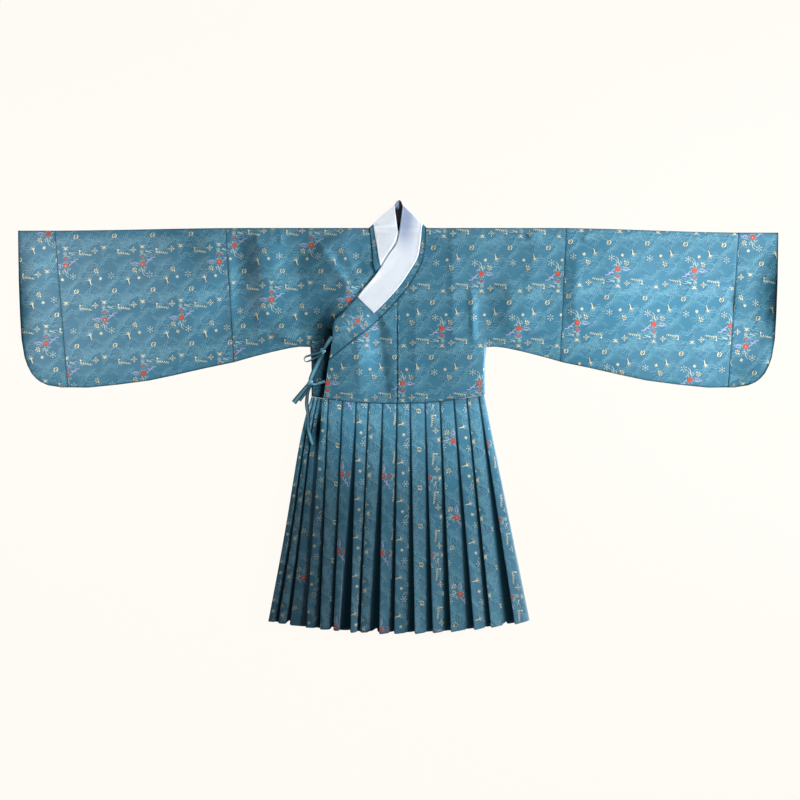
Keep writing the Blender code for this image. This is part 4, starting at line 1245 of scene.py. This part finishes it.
class ROBE_OT_stage(bpy.types.Operator):
    """Add the pale floor, the soft studio lights and the camera straight above"""

    bl_idname = "robe.stage"
    bl_label = "Stage"

    def execute(self, context):
        scene = context.scene
        bm = bmesh.new()
        bmesh.ops.create_grid(bm, x_segments=2, y_segments=2, size=6.0)
        mesh = bpy.data.meshes.new("Floor")
        bm.to_mesh(mesh)
        bm.free()
        mesh.transform(Matrix.Translation((0.0, 0.0, -0.0006)))
        floor = bpy.data.objects.new("Floor", mesh)
        scene.collection.objects.link(floor)
        material, _, _, shader = start_material("Floor paper", scene.robe_colours.floor, 0.9)
        shader.inputs["Specular IOR Level"].default_value = 0.0
        shader.inputs["Emission Color"].default_value = (1.0, 0.966, 0.912, 1.0)
        shader.inputs["Emission Strength"].default_value = 0.985
        mesh.materials.append(material)
        for name, place, aim, width, height, power, spread in (
                ("Key light", (3.60, 0.35, 1.10), (0.40, 0.25, 0.0), 0.6, 0.8, 57.0, 80.0),
                ("Side light", (-1.65, 0.50, 1.35), (-0.95, 0.25, 0.0), 0.4, 0.6, 2.1, 60.0),
                ("Sleeve light", (1.90, 0.50, 1.25), (0.85, 0.25, 0.0), 0.4, 0.6, 1.6, 60.0),
                ("Top light", (0.10, 2.00, 1.50), (0.15, 0.10, 0.0), 1.2, 0.4, 2.0, 80.0)):
            data = bpy.data.lights.new(name, "AREA")
            data.shape = "RECTANGLE"
            data.size = width
            data.size_y = height
            data.energy = power
            data.spread = math.radians(spread)
            lamp = bpy.data.objects.new(name, data)
            lamp.location = place
            lamp.rotation_euler = (Vector(aim) - Vector(place)).to_track_quat("-Z", "Y").to_euler()
            scene.collection.objects.link(lamp)
        world = bpy.data.worlds.new("Studio")
        world.use_nodes = True
        world.node_tree.nodes["Background"].inputs["Color"].default_value = (1.0, 1.0, 1.0, 1.0)
        world.node_tree.nodes["Background"].inputs["Strength"].default_value = 0.12
        scene.world = world
        data = bpy.data.cameras.new("Camera")
        data.lens = 85.0
        data.sensor_width = 36.0
        camera = bpy.data.objects.new("Camera", data)
        camera.location = (VIEW_X, VIEW_Y, CAMERA_HEIGHT)
        scene.collection.objects.link(camera)
        scene.camera = camera
        scene.view_settings.view_transform = "Standard"
        scene.view_settings.look = "None"
        return {"FINISHED"}


class ROBE_OT_backs(bpy.types.Operator):
    """Lay the back panels, which rest on the floor"""

    bl_idname = "robe.backs"
    bl_label = "Back panels"

    def execute(self, context):
        sizes = context.scene.robe_sizes
        material = finishes(context)["Brocade"]
        for side, sign in SIGN.items():
            top_x, bottom_x = SLEEVE_SEAM[side]
            across = np.unique(np.concatenate([spaced(0.0, 0.089, 0.02), spaced(0.089, UNDERARM, 0.03),
                                               spaced(UNDERARM, top_x, 0.03)])) * sign
            across.sort()
            down = np.concatenate([spaced(0.0, 1.0, 0.1), 1.0 + spaced(0.0, 1.0, 0.25)[1:]])

            def place(a, d, top_x=top_x, bottom_x=bottom_x, sign=sign):
                share = np.minimum(d, 1.0)
                outward = ease((np.abs(a) - 0.28) / (top_x - 0.28))
                foot = sign * (np.abs(a) + (bottom_x - top_x) * outward)
                under = np.where(np.abs(a) <= UNDERARM, UNDERARM_DROP, sleeve_edge(foot))
                top = np.where(np.abs(a) < 0.0885, 0.010, shoulder(a))
                x = mix(a, foot, share)
                drop = mix(top, under, share)
                below = np.clip(d - 1.0, 0.0, 1.0)
                x = x * (1.0 - (1.0 - SIDE / UNDERARM) * ease(below * 3.0) * np.abs(a) / UNDERARM)
                drop = np.where(d > 1.0, mix(UNDERARM_DROP, waist(x), below), drop)
                return x, drop, np.full_like(x, BACK_WALL), x, -drop, 0.0

            def gone(a, d):
                return d > 1.0 and abs(a) > UNDERARM
            body = cloth("back_" + side + "_cloth", across, down, place, material, 0.0011, gone)
            dress(body, ["back_" + side])
            flat_area(across, down, place, gone)
            head, foot = CUFF_SEAM[side]

            def sleeve_place(a, d, top_x=top_x, bottom_x=bottom_x, head=head, foot=foot, sign=sign):
                x = sign * mix(mix(top_x, head, a), mix(bottom_x, foot, a), d)
                drop = mix(shoulder(sign * mix(top_x, head, a)),
                           sleeve_edge(mix(bottom_x, foot, a)), d)
                return x, drop, np.full_like(x, BACK_WALL), x, -drop, 0.0
            across = spaced(0.0, 1.0, 0.06)
            down = spaced(0.0, 1.0, 0.1)
            sleeve = cloth("sleeve_" + side + "_back_cloth", across if sign > 0 else across[::-1],
                           down, sleeve_place, material, 0.0011)
            dress(sleeve, ["sleeve_" + side + "_back"])
            flat_area(across, down, sleeve_place)

            def flat_low(x, drop, a):
                return np.full_like(x, BACK_WALL)
            place = cuff_place(side, flat_low)
            across = spaced(0.0, 1.0, 0.2)
            down = spaced(0.0, 1.0, 0.04)
            cuff = cloth("cuff_" + side + "_back_cloth", across if sign > 0 else across[::-1],
                         down, place, material, 0.0011)
            dress(cuff, ["cuff_" + side + "_back"])
            flat_area(across, down, place)
        return {"FINISHED"}


class ROBE_OT_fronts(bpy.types.Operator):
    """Lay the creased front panels of the body, with their woven figures"""

    bl_idname = "robe.fronts"
    bl_label = "Body fronts"

    def execute(self, context):
        sizes = context.scene.robe_sizes
        material = finishes(context)["Brocade"]
        figures = figure_set(context)
        repeat = weave_repeat()
        piece, strip, area = body_front("front_right_cloth", "right", COLLAR_INNER, inner_low,
                                        sizes, material)
        dress(piece, ["front_right"])
        woven = weave_on("front_right_figures", piece, repeat, [strip], (-0.3786, -0.2160), 180.0,
                         sizes, figures)
        piece, strip, area = lapel("lapel_inner_cloth", 1.0, COLLAR_INNER, inner_low,
                                   (0.2076, 0.3960, 0.2090), sizes, material)
        dress(piece, ["lapel_inner"])
        piece, strip, area = body_front("front_left_cloth", "left", COLLAR_OUTER, outer_low,
                                        sizes, material)
        dress(piece, ["front_left"])
        woven = weave_on("front_left_figures", piece, repeat, [strip], (0.2490, -0.1380), 0.0,
                         sizes, figures)
        piece, strip, area = lapel("lapel_outer_cloth", -1.0, COLLAR_OUTER, outer_low,
                                   (-0.2076, 0.3960, -0.2244), sizes, material)
        dress(piece, ["lapel_outer"])
        woven = weave_on("lapel_outer_figures", piece, repeat, [strip], (0.0180, -0.4650), 0.0,
                         sizes, figures)
        return {"FINISHED"}


class ROBE_OT_sleeves(bpy.types.Operator):
    """Lay the fronts of the sleeves and of their ends, with their woven figures"""

    bl_idname = "robe.sleeves"
    bl_label = "Sleeve fronts"

    def execute(self, context):
        sizes = context.scene.robe_sizes
        material = finishes(context)["Brocade"]
        figures = figure_set(context)
        repeat = weave_repeat()
        for side, flower, turn, cuff_flower, cuff_turn in (
                ("right", (-0.7656, -0.1080), 181.5, (-1.0488, -0.0189), 180.0),
                ("left", (0.6585, -0.1227), -1.3, (1.0629, -0.0285), 177.4)):
            piece, strip, area = sleeve_front("sleeve_" + side + "_cloth", side, sizes, material)
            dress(piece, ["sleeve_" + side + "_front"])
            woven = weave_on("sleeve_" + side + "_figures", piece, repeat, [strip], flower, turn,
                             sizes, figures)
            piece, strip, area = cuff_front("cuff_" + side + "_cloth", side, sizes, material)
            dress(piece, ["cuff_" + side + "_front"])
            woven = weave_on("cuff_" + side + "_figures", piece, repeat, [strip], cuff_flower,
                             cuff_turn, sizes, figures)
        return {"FINISHED"}


def beside_outer(x, drop, sizes):
    """How far the inner collar stands up beside the outer one's free edge."""
    table = np.array(COLLAR_OUTER)
    lip = np.interp(drop, table[:, 3], table[:, 2]) - x
    gap = np.maximum(outer_band_low(x, drop, sizes) - inner_band_low(x, drop, sizes) - 0.0005, 0.0)
    near = ease((lip - 0.0010) / 0.0040) * ease(1.0 - lip / 0.09)
    return gap * near * ease((drop + 0.010) / 0.03) * ease((0.150 - drop) / 0.03)


def band_lines(stations):
    """Smooth lines through the collar's stations, as functions of a place along it."""
    table = np.array(stations)
    fine = np.array(curve_places([tuple(row) for row in stations], 8))
    along = np.linspace(0.0, len(stations) - 1, len(fine))

    def at(a):
        return [np.interp(a, along, fine[:, column]) for column in range(table.shape[1])]
    return at


class ROBE_OT_collar(bpy.types.Operator):
    """Fold the collar band round the neck and baste the white guard on it"""

    bl_idname = "robe.collar"
    bl_label = "Collar and guard"

    def execute(self, context):
        sizes = context.scene.robe_sizes
        kept = finishes(context)
        figures = figure_set(context)
        repeat = weave_repeat()
        for layer, stations, low_of, length in (("outer", COLLAR_OUTER, outer_band_low, 0.58),
                                                ("inner", COLLAR_INNER, inner_band_low, 0.56)):
            at = band_lines(stations)
            last = len(stations) - 1
            along = spaced(0.0, last, 0.12)
            shares = close_ends(spaced(0.0, 0.995, 0.05) / 0.995) * 0.995

            def place(a, d, at=at, low_of=low_of):
                sewn_x, sewn_drop, free_x, free_drop = at(a)
                x = mix(free_x, sewn_x, d)
                drop = mix(free_drop, sewn_drop, d)
                width = np.hypot(free_x - sewn_x, free_drop - sewn_drop)
                z = low_of(x, drop, sizes) + BAND_WALL
                if low_of is inner_band_low:
                    z += beside_outer(x, drop, sizes)
                z -= rolled(d * width, 0.0012) + rolled((0.995 - d) * width, 0.0009)
                # The last value is a painted shade along the band's sewn edge
                return x, drop, z, a * 0.045, -d * 0.1, painted_seam_shade((0.995 - d) * width, 0.8)
            turned = along[::-1] if layer == "outer" else along
            piece = cloth("collar_" + layer + "_cloth", turned, shares, place, kept["Brocade"], 0.0012)
            dress(piece, ["collar_" + layer])
            end = 0.578 if layer == "outer" else 0.160
            going = [self.band_figures(piece, at, last, end, repeat, sizes, figures)]

            def guard_place(a, d, at=at, low_of=low_of, layer=layer):
                sewn_x, sewn_drop, free_x, free_drop = at(a)
                edge = mix(*GUARD_SHARE, np.minimum(a / GUARD_END, 1.0))
                width = np.hypot(free_x - sewn_x, free_drop - sewn_drop) * edge
                share = d * edge
                x = mix(free_x, sewn_x, share)
                drop = mix(free_drop, sewn_drop, share)
                z = low_of(x, drop, sizes) + BAND_WALL + AIR + 0.0010
                if low_of is inner_band_low:
                    z += beside_outer(x, drop, sizes)
                nearest = np.minimum(d, 1.0 - d) * width
                z += 0.0006 * np.exp(-((nearest - 0.0026) / 0.0016) ** 2)
                z -= rolled(nearest, 0.0011)
                z -= rolled((GUARD_END - a) * 0.03, 0.0011)
                shade = 0.0
                if layer == "outer":
                    # Painted shade on the outer guard near the neck
                    shade = 0.44 * ease((3.8 - a) / 2.4) * ease((0.95 - d) / 0.7)
                else:
                    z += 0.0022 * np.exp(-((drop + 0.0065 + 0.1 * (x + 0.04)) / 0.004) ** 2) * ease(8 * d)
                return x, drop, z, a * 0.045, -d * 0.1, shade
            along = np.unique(np.concatenate([spaced(0.0, GUARD_END, 0.08),
                                              GUARD_END - np.array([0.01, 0.02, 0.04])]))
            shares = close_ends(spaced(0.0, 1.0, 0.025))
            turned = along[::-1] if layer == "outer" else along
            piece = cloth("guard_" + layer + "_satin", turned, shares, guard_place,
                          kept["Guard satin"], 0.0008)
            dress(piece, ["guard_" + layer])
        self.neck_back(kept)
        return {"FINISHED"}

    def band_figures(self, piece, at, last, end, repeat, sizes, figures):
        """Figures run across the band, which is cut along the cloth."""
        def hold(u, v):
            u = np.clip(u, 0.002, end)
            a = u / 0.58 * last
            edge = np.where(a < GUARD_END, mix(*GUARD_SHARE, np.minimum(a / GUARD_END, 1.0)) + 0.02,
                            0.03)
            sewn_x, sewn_drop, free_x, free_drop = at(a)
            width = np.hypot(free_x - sewn_x, free_drop - sewn_drop)
            return u, np.clip(v, edge * width, 0.97 * width)

        def place(u, v):
            a = u / 0.58 * last
            sewn_x, sewn_drop, free_x, free_drop = at(a)
            width = np.hypot(free_x - sewn_x, free_drop - sewn_drop)
            share = v / width
            return mix(free_x, sewn_x, share), mix(free_drop, sewn_drop, share)
        strip = ((0.0, 0.0), (end, 0.11), hold, place)
        name = piece.name.replace("cloth", "figures")
        return weave_on(name, piece, repeat, [strip], (0.45, 0.05), 90.0, sizes, figures)

    def neck_back(self, kept):
        """The band and the guard behind the neck, with painted shadow where the opening shows them."""
        points = ((-0.0876, 0.0), (-0.0114, -0.0680), (-0.0040, -0.0800), (0.0040, -COLLAR_PEAK),
                  (0.0090, -0.0800), (0.0135, -0.0680), (0.0843, -0.0015))
        xs, drops = (np.array(values) for values in zip(*points))

        def place(a, d):
            drop = mix(np.interp(a, xs, drops), 0.0097, d)
            # Painted shadow in the middle, where the opening is
            shade = ease((0.016 - np.abs(a)) / 0.004)
            z = np.full_like(a, BAND_WALL) - rolled(drop - np.interp(a, xs, drops))
            return a, drop, z, a, -drop, shade
        across = np.unique(np.concatenate([spaced(-0.0848, 0.0830, 0.004), xs[1:-1]]))
        piece = cloth("collar_back_cloth", across, close_ends(spaced(0.0, 1.0, 0.1)), place,
                      kept["Brocade"], 0.0014)
        dress(piece, ["collar_back"])

        def guard_place(a, d):
            drop = mix(np.interp(a, xs, drops) + 0.0010, -0.0140, d)
            # Painted shadow in the middle, with a lilac painted shade at its upper left
            shade = ease((0.016 - np.abs(a)) / 0.004) * np.where((a > 0.0016) | (drop > -0.060), 1.0, 0.55)
            z = np.full_like(a, BAND_WALL + AIR + 0.0009)
            return a, drop, z - rolled(drop - np.interp(a, xs, drops) - 0.001, 0.0008), a, -drop, shade
        across = np.unique(np.concatenate([spaced(-0.0680, 0.0650, 0.004), xs[1:-1]]))
        piece = cloth("guard_back_satin", across, close_ends(spaced(0.0, 1.0, 0.1)), guard_place,
                      kept["Guard satin"], 0.0008)
        dress(piece, ["guard_back"])


# Skirt


def pleat_points(edges, base, up, run_on=None):
    """Section across a pleated cloth: x, z, the cloth's own place across it and the painted shade of its
    grooves.
    """
    points = []
    for index in range(len(edges) - 1):
        x, _, lift = edges[index]
        following, next_groove, next_lift = edges[index + 1]
        width = following - x
        last = index == len(edges) - 2
        underlap = 0.0 if last else min(UNDERLAP, 0.38 * width)
        drop_from = following - max(0.0035, 1.15 * next_groove)
        drop_to = following - max(0.0018, 0.66 * next_groove)
        points.append((x, base + up * (2.0 * LAYER + lift), 0.0))
        hold = x + min(UNDERLAP, 0.38 * width) + 0.0016
        points.append((mix(x, hold, 0.5), base + up * (2.0 * LAYER + 0.80 * lift), 0.0))
        points.append((hold, base + up * (2.0 * LAYER + 0.55 * lift), 0.0))
        if last:
            points.append((drop_from, base + up * (LAYER + 0.2 * lift), 0.0))
            points.append((following, base, 0.0))
            break
        points.append((mix(hold, drop_from, 0.5), base + up * (1.5 * LAYER + 0.42 * lift), 0.0))
        points.append((drop_from, base + up * (LAYER + 0.25 * lift), 0.2))
        points.append((drop_to, base, 1.0))
        points.append((following + 0.5 * underlap, base, 1.0))
        points.append((following + underlap, base, 1.0))
        points.append((following + underlap, base + up * LAYER, 1.0))
        points.append((following + 0.5 * underlap, base + up * (LAYER + 0.5 * next_lift), 1.0))
        points.append((following, base + up * (LAYER + next_lift), 0.8))
    if run_on is not None:
        for share in (0.25, 0.5, 0.75, 1.0):
            points.append((mix(edges[-1][0], run_on, share), base, 1.0))
    return points


def pleat_edges(pleats, share, lift, bulge=0.0):
    wide = share + bulge * share * (1.0 - share) ** 4
    raised = share ** 1.3
    return [(mix(x0, x1, wide), groove * share, lift * height * raised)
            for x0, x1, groove, height in pleats]


def skirt(name, pleats, base_waist, base_hem, up, lift, material, run_on=None, bulge=0.0,
          rows=44, rise=0.0):
    """A pleated cloth from the waist seam to the hem."""
    down = close_ends(spaced(0.0, 1.0, 1.0 / rows), first=False)
    sections = []
    for share in down:
        wide = share + bulge * share * (1.0 - share) ** 4
        ends = [(x0, x1) for x0, x1, _, _ in pleats]
        if run_on is not None:
            ends += [(mix(ends[-1][0], run_on[0], step / 8), mix(ends[-1][1], run_on[1], step / 8))
                     for step in range(1, 9)]
        line = [(mix(x0, x1, wide), mix(waist(x0) + WAIST_GAP, hem(x1), share)) for x0, x1 in ends]
        xs, drops = (np.array(values) for values in zip(*line))
        low = mix(base_waist, base_hem, share) + float(rise * ease(share / 0.12) * (1.0 - 0.6 * share))
        section = pleat_points(pleat_edges(pleats, share, lift, bulge), low, up,
                               None if run_on is None else xs[-1])
        section = np.array(section)
        run = np.concatenate([[0.0], np.cumsum(np.abs(np.diff(section[:, 0])))])
        hang = share ** 4 * (0.36 * np.abs(section[:, 1] - low) - 0.011 * section[:, 2])
        # The last column is the painted shade of the grooves, fading in below the waist
        sections.append(np.column_stack([section[:, 0], np.interp(section[:, 0], xs, drops) + hang,
                                         section[:, 1], run, 0.62 * section[:, 2] * min(share * 6.0, 1.0)]))
    sections = np.array(sections)
    across = np.arange(sections.shape[1])

    def place(a, d):
        rows_at = np.searchsorted(down, d)
        found = sections[rows_at, a.astype(int)]
        return found[:, 0], found[:, 1], found[:, 2], found[:, 3], -found[:, 1], found[:, 4]
    obj = cloth(name, across, down, place, material, 0.0007, offset=0.0, rounded=1)
    return obj


def pleat_strips(pleats, bulge=0.0):
    """The faces of the pleats, each a strip of the cloth with its figures along it."""
    strips = []
    start = 0.0
    for (x0, x1, _, _), (next0, next1, groove, _) in zip(pleats, pleats[1:]):
        def edge_at(drop, x0=x0, x1=x1):
            top = waist(x0)
            share = np.clip((drop - top) / (hem(x1) - top), 0.0, 1.0)
            wide = share + bulge * share * (1.0 - share) ** 4
            return mix(x0, x1, wide)

        def width_at(drop, x0=x0, x1=x1, next0=next0, next1=next1, groove=groove):
            top = waist(x0)
            share = np.clip((drop - top) / (hem(x1) - top), 0.0, 1.0)
            return mix(next0 - x0, next1 - x1, share) - np.maximum(0.0036, groove * share)

        def hold(u, v, start=start, width_at=width_at, x0=x0, x1=x1):
            drop = np.clip(-v, waist(x0) + 0.003, hem(x1) - 0.002)
            return np.clip(u, start + 0.0014, start + np.maximum(width_at(drop) - 0.0012, 0.002)), -drop

        def place(u, v, start=start, edge_at=edge_at):
            return edge_at(-v) + u - start, -v
        widest = max(next0 - x0, next1 - x1)
        strips.append(((start, -hem(x1)), (start + widest, -waist(x0)), hold, place))
        start += widest + 0.062
    return strips


class ROBE_OT_skirt(bpy.types.Operator):
    """Press the pleated skirt: its back, its inner front and its outer front"""

    bl_idname = "robe.skirt"
    bl_label = "Pleated skirt"

    def execute(self, context):
        sizes = context.scene.robe_sizes
        material = finishes(context)["Pleated brocade"]
        figures = figure_set(context)
        repeat = weave_repeat()
        half = PLEATED_WALL / 2
        depth = 2.0 * LAYER
        shares = [index / BACK_PLEATS for index in range(BACK_PLEATS + 1)]
        pleats = [(mix(-0.258, 0.255, s), mix(-0.386, 0.390, s), 0.010, 0.0) for s in shares]
        back = skirt("skirt_back_cloth", pleats, half + depth, half + depth, -1.0, 0.0, material,
                     rows=10)
        dress(back, ["skirt_back"])
        low = BACK_SKIRT_TOP + half
        inner = skirt("skirt_inner_cloth", PLEATS_INNER, low, low + HEM_LOFT, 1.0, sizes.lift,
                      material, run_on=INNER_SKIRT_EDGE, bulge=HIP_BULGE, rise=SKIRT_RISE)
        dress(inner, ["skirt_inner"])
        woven = weave_on("skirt_inner_figures", inner, repeat,
                         pleat_strips(PLEATS_INNER, HIP_BULGE), (0.05, -0.70), 90.0, sizes, figures)
        low = BACK_SKIRT_TOP + PLEATED_WALL + AIR + half
        outer = skirt("skirt_outer_cloth", PLEATS_OUTER, low, low + HEM_LOFT, 1.0, sizes.lift,
                      material, rise=SKIRT_RISE)
        dress(outer, ["skirt_outer"])
        woven = weave_on("skirt_outer_figures", outer, repeat, pleat_strips(PLEATS_OUTER),
                         (0.05, -0.62), 90.0, sizes, figures)
        return {"FINISHED"}


# Ties


# Name, CAD node, places (x, drop, height over what it lies on, lean of its width), widths
TIES = (
    ("tie_upper_root_strip", "tie_upper_root",
     ((-0.1985, 0.3270, 0.0006, 0), (-0.2080, 0.3390, 0.0010, 8), (-0.2178, 0.3558, 0.0016, 25),
      (-0.2240, 0.3650, 0.0030, 30)), (0.0150, 0.0125)),
    ("tie_lower_root_strip", "tie_lower_root",
     ((-0.2200, 0.4600, 0.0006, 0), (-0.2350, 0.4645, 0.0010, 15), (-0.2480, 0.4690, 0.0016, 20),
      (-0.2600, 0.4670, 0.0030, 20)), (0.0115, 0.0100)),
    ("tie_upper_bow_strip", "tie_upper_bow",
     ((-0.2270, 0.3700, 0.0042, 40), (-0.2420, 0.3765, 0.0042, 48), (-0.2620, 0.3820, 0.0034, 52),
      (-0.2760, 0.3860, 0.0030, 62), (-0.2815, 0.3935, 0.0028, 80), (-0.2765, 0.4010, 0.0026, 100),
      (-0.2610, 0.3965, 0.0028, 122), (-0.2440, 0.3880, 0.0034, 130),
      (-0.2280, 0.3765, 0.0040, 135)), (0.0115, 0.0110)),
    ("tie_upper_end_strip", "tie_upper_end",
     ((-0.2270, 0.3760, 0.0026, 12), (-0.2370, 0.3980, 0.0010, 6), (-0.2490, 0.4240, 0.0008, -6),
      (-0.2580, 0.4430, 0.0014, -14), (-0.2630, 0.4580, 0.0034, 0)), (0.0170, 0.0130)),
    ("tie_lower_end_strip", "tie_lower_end",
     ((-0.2660, 0.4670, 0.0034, 10), (-0.2800, 0.4830, 0.0016, 16), (-0.2960, 0.5030, 0.0010, 6),
      (-0.3130, 0.5240, 0.0008, 0)), (0.0120, 0.0160)),
    ("tie_lower_tail_strip", "tie_lower_tail",
     ((-0.2655, 0.4700, 0.0030, 30), (-0.2730, 0.4860, 0.0012, 40), (-0.2830, 0.5030, 0.0010, 30),
      (-0.2950, 0.5190, 0.0008, 24)), (0.0085, 0.0080)),
    ("tie_long_strip", "tie_long",
     ((-0.2640, 0.4720, 0.0030, 10), (-0.2715, 0.4950, 0.0012, 30), (-0.2740, 0.5280, 0.0010, 20),
      (-0.2690, 0.5650, 0.0010, 40), (-0.2700, 0.5980, 0.0010, 10),
      (-0.2620, 0.6300, 0.0010, -10), (-0.2560, 0.6500, 0.0010, 0)), (0.0120, 0.0125)),
)
TIE_WALL = 0.0020


def top_under(trees, x, drop, reach):
    """Top of the pieces that lie under a place."""
    best = 0.0
    for along in (-reach, 0.0, reach):
        for across in (-reach, 0.0, reach):
            start = Vector((x + across, SHOULDER_Y - drop + along, RAY_TOP))
            for tree in trees:
                hit = tree.ray_cast(start, Vector((0.0, 0.0, -1.0)))[0]
                if hit is not None:
                    best = max(best, hit.z)
    return best


def tie_strip(name, places, widths, trees, material):
    """A folded strip of cloth along a smooth line, leaning as it goes."""
    line = np.array(curve_places(places, 7))
    last = len(line) - 1
    seats = [top_under(trees, x, drop, 0.004) for x, drop, _, _ in line]
    seats = np.convolve(np.pad(seats, 3, mode="edge"), np.full(7, 1.0 / 7.0), mode="valid")
    around = 12
    bm = bmesh.new()
    edge_shade = bm.verts.layers.float.new("fold_depth")
    bmesh.ops.create_grid(bm, x_segments=around, y_segments=last, size=0.5)
    spots = []
    for index, (x, drop, height, lean) in enumerate(line):
        half = 0.5 * mix(widths[0], widths[1], index / last)
        tilt = math.radians(lean)
        rise = seats[index] + height + abs(math.sin(tilt)) * half + 0.5 * TIE_WALL
        spots.append((Vector((x, SHOULDER_Y - drop, rise)), half, tilt))
    for vert in bm.verts:
        index = round((vert.co.y + 0.5) * last)
        turn = 2.0 * math.pi * round((vert.co.x + 0.5) * around) / around
        middle, half, tilt = spots[index]
        along = spots[min(index + 1, last)][0] - spots[max(index - 1, 0)][0]
        along.normalize()
        flat = Vector((-along.y, along.x, 0.0)).normalized()
        lift = flat.cross(along) * -1.0
        wide = flat * math.cos(tilt) + lift * math.sin(tilt)
        thin = lift * math.cos(tilt) - flat * math.sin(tilt)
        bulge = 0.5 * TIE_WALL * math.sin(turn)
        reach = half * math.copysign(abs(math.cos(turn)) ** 0.6, math.cos(turn))
        # Painted shade along the strip's folded edges
        vert[edge_shade] = 0.95 * float(ease((abs(reach / half) - 0.40) / 0.45))
        vert.co = middle + wide * reach + thin * bulge
    bmesh.ops.remove_doubles(bm, verts=bm.verts, dist=1e-6)
    bmesh.ops.holes_fill(bm, edges=[edge for edge in bm.edges if edge.is_boundary], sides=0)
    bmesh.ops.recalc_face_normals(bm, faces=bm.faces)
    mesh = bpy.data.meshes.new(name)
    bm.to_mesh(mesh)
    bm.free()
    mesh.shade_smooth()
    mesh.materials.append(material)
    obj = bpy.data.objects.new(name, mesh)
    bpy.context.scene.collection.objects.link(obj)
    length = float(np.hypot(np.diff(line[:, 0]), np.diff(line[:, 1])).sum())
    return obj, length


def tie_knot(name, knot, trees, material):
    """A small flat knot: a strip wound once round the others."""
    x, drop = knot
    seat = top_under(trees, x, drop, 0.005)
    bm = bmesh.new()
    bmesh.ops.create_uvsphere(bm, u_segments=20, v_segments=12, radius=1.0)
    for vert in bm.verts:
        wrap = 0.10 * math.sin(7.0 * vert.co.x + 2.0 * vert.co.y)
        size = 1.0 + wrap * (1.0 - vert.co.z ** 2)
        vert.co = (vert.co.x * 0.0098 * size, vert.co.y * 0.0084 * size, vert.co.z * 0.0036)
    bmesh.ops.rotate(bm, verts=bm.verts, cent=(0, 0, 0), matrix=Matrix.Rotation(0.7, 3, "Z"))
    bmesh.ops.translate(bm, verts=bm.verts, vec=(x, SHOULDER_Y - drop, seat + 0.0036))
    mesh = bpy.data.meshes.new(name)
    bm.to_mesh(mesh)
    bm.free()
    mesh.shade_smooth()
    mesh.materials.append(material)
    obj = bpy.data.objects.new(name, mesh)
    bpy.context.scene.collection.objects.link(obj)
    return obj


class ROBE_OT_ties(bpy.types.Operator):
    """Tie the narrow strips at the wearer's right side"""

    bl_idname = "robe.ties"
    bl_label = "Ties"

    def execute(self, context):
        material = finishes(context)["Tie brocade"]
        under = ("front_right_cloth", "lapel_outer_cloth", "front_left_cloth", "skirt_inner_cloth",
                 "skirt_outer_cloth", "collar_outer_cloth", "back_right_cloth")
        graph = context.evaluated_depsgraph_get()
        trees = [BVHTree.FromObject(bpy.data.objects[name], graph) for name in under]
        for name, knot in (("tie_upper_knot", UPPER_KNOT), ("tie_lower_knot", LOWER_KNOT)):
            piece = tie_knot(name + "_wound", knot, trees, material)
            dress(piece, [name])
        for name, node, places, widths in TIES:
            piece, length = tie_strip(name, places, widths, trees, material)
            dress(piece, [node])
        return {"FINISHED"}


class ROBE_PT_panel(bpy.types.Panel):
    """Sizes, colours and steps of the robe"""

    bl_idname = "ROBE_PT_panel"
    bl_label = "Pleated robe"
    bl_space_type = "VIEW_3D"
    bl_region_type = "UI"
    bl_category = "Robe"

    def draw(self, context):
        layout = self.layout
        for owner in (context.scene.robe_sizes, context.scene.robe_colours):
            box = layout.box()
            for name in owner.__annotations__:
                box.prop(owner, name)
        for step in STEPS:
            layout.operator(step.bl_idname)


STEPS = (ROBE_OT_stage, ROBE_OT_backs, ROBE_OT_fronts, ROBE_OT_sleeves, ROBE_OT_collar,
         ROBE_OT_skirt, ROBE_OT_ties)
CLASSES = (RobeSizes, RobeColours) + STEPS + (ROBE_PT_panel,)


def register():
    for item in CLASSES:
        bpy.utils.register_class(item)
    bpy.types.Scene.robe_sizes = bpy.props.PointerProperty(type=RobeSizes)
    bpy.types.Scene.robe_colours = bpy.props.PointerProperty(type=RobeColours)


def unregister():
    del bpy.types.Scene.robe_colours
    del bpy.types.Scene.robe_sizes
    for item in reversed(CLASSES):
        bpy.utils.unregister_class(item)


def main():
    register()
    bpy.ops.robe.stage()
    bpy.ops.robe.backs()
    bpy.ops.robe.fronts()
    bpy.ops.robe.sleeves()
    bpy.ops.robe.collar()
    bpy.ops.robe.skirt()
    bpy.ops.robe.ties()


if __name__ == "__main__":
    main()
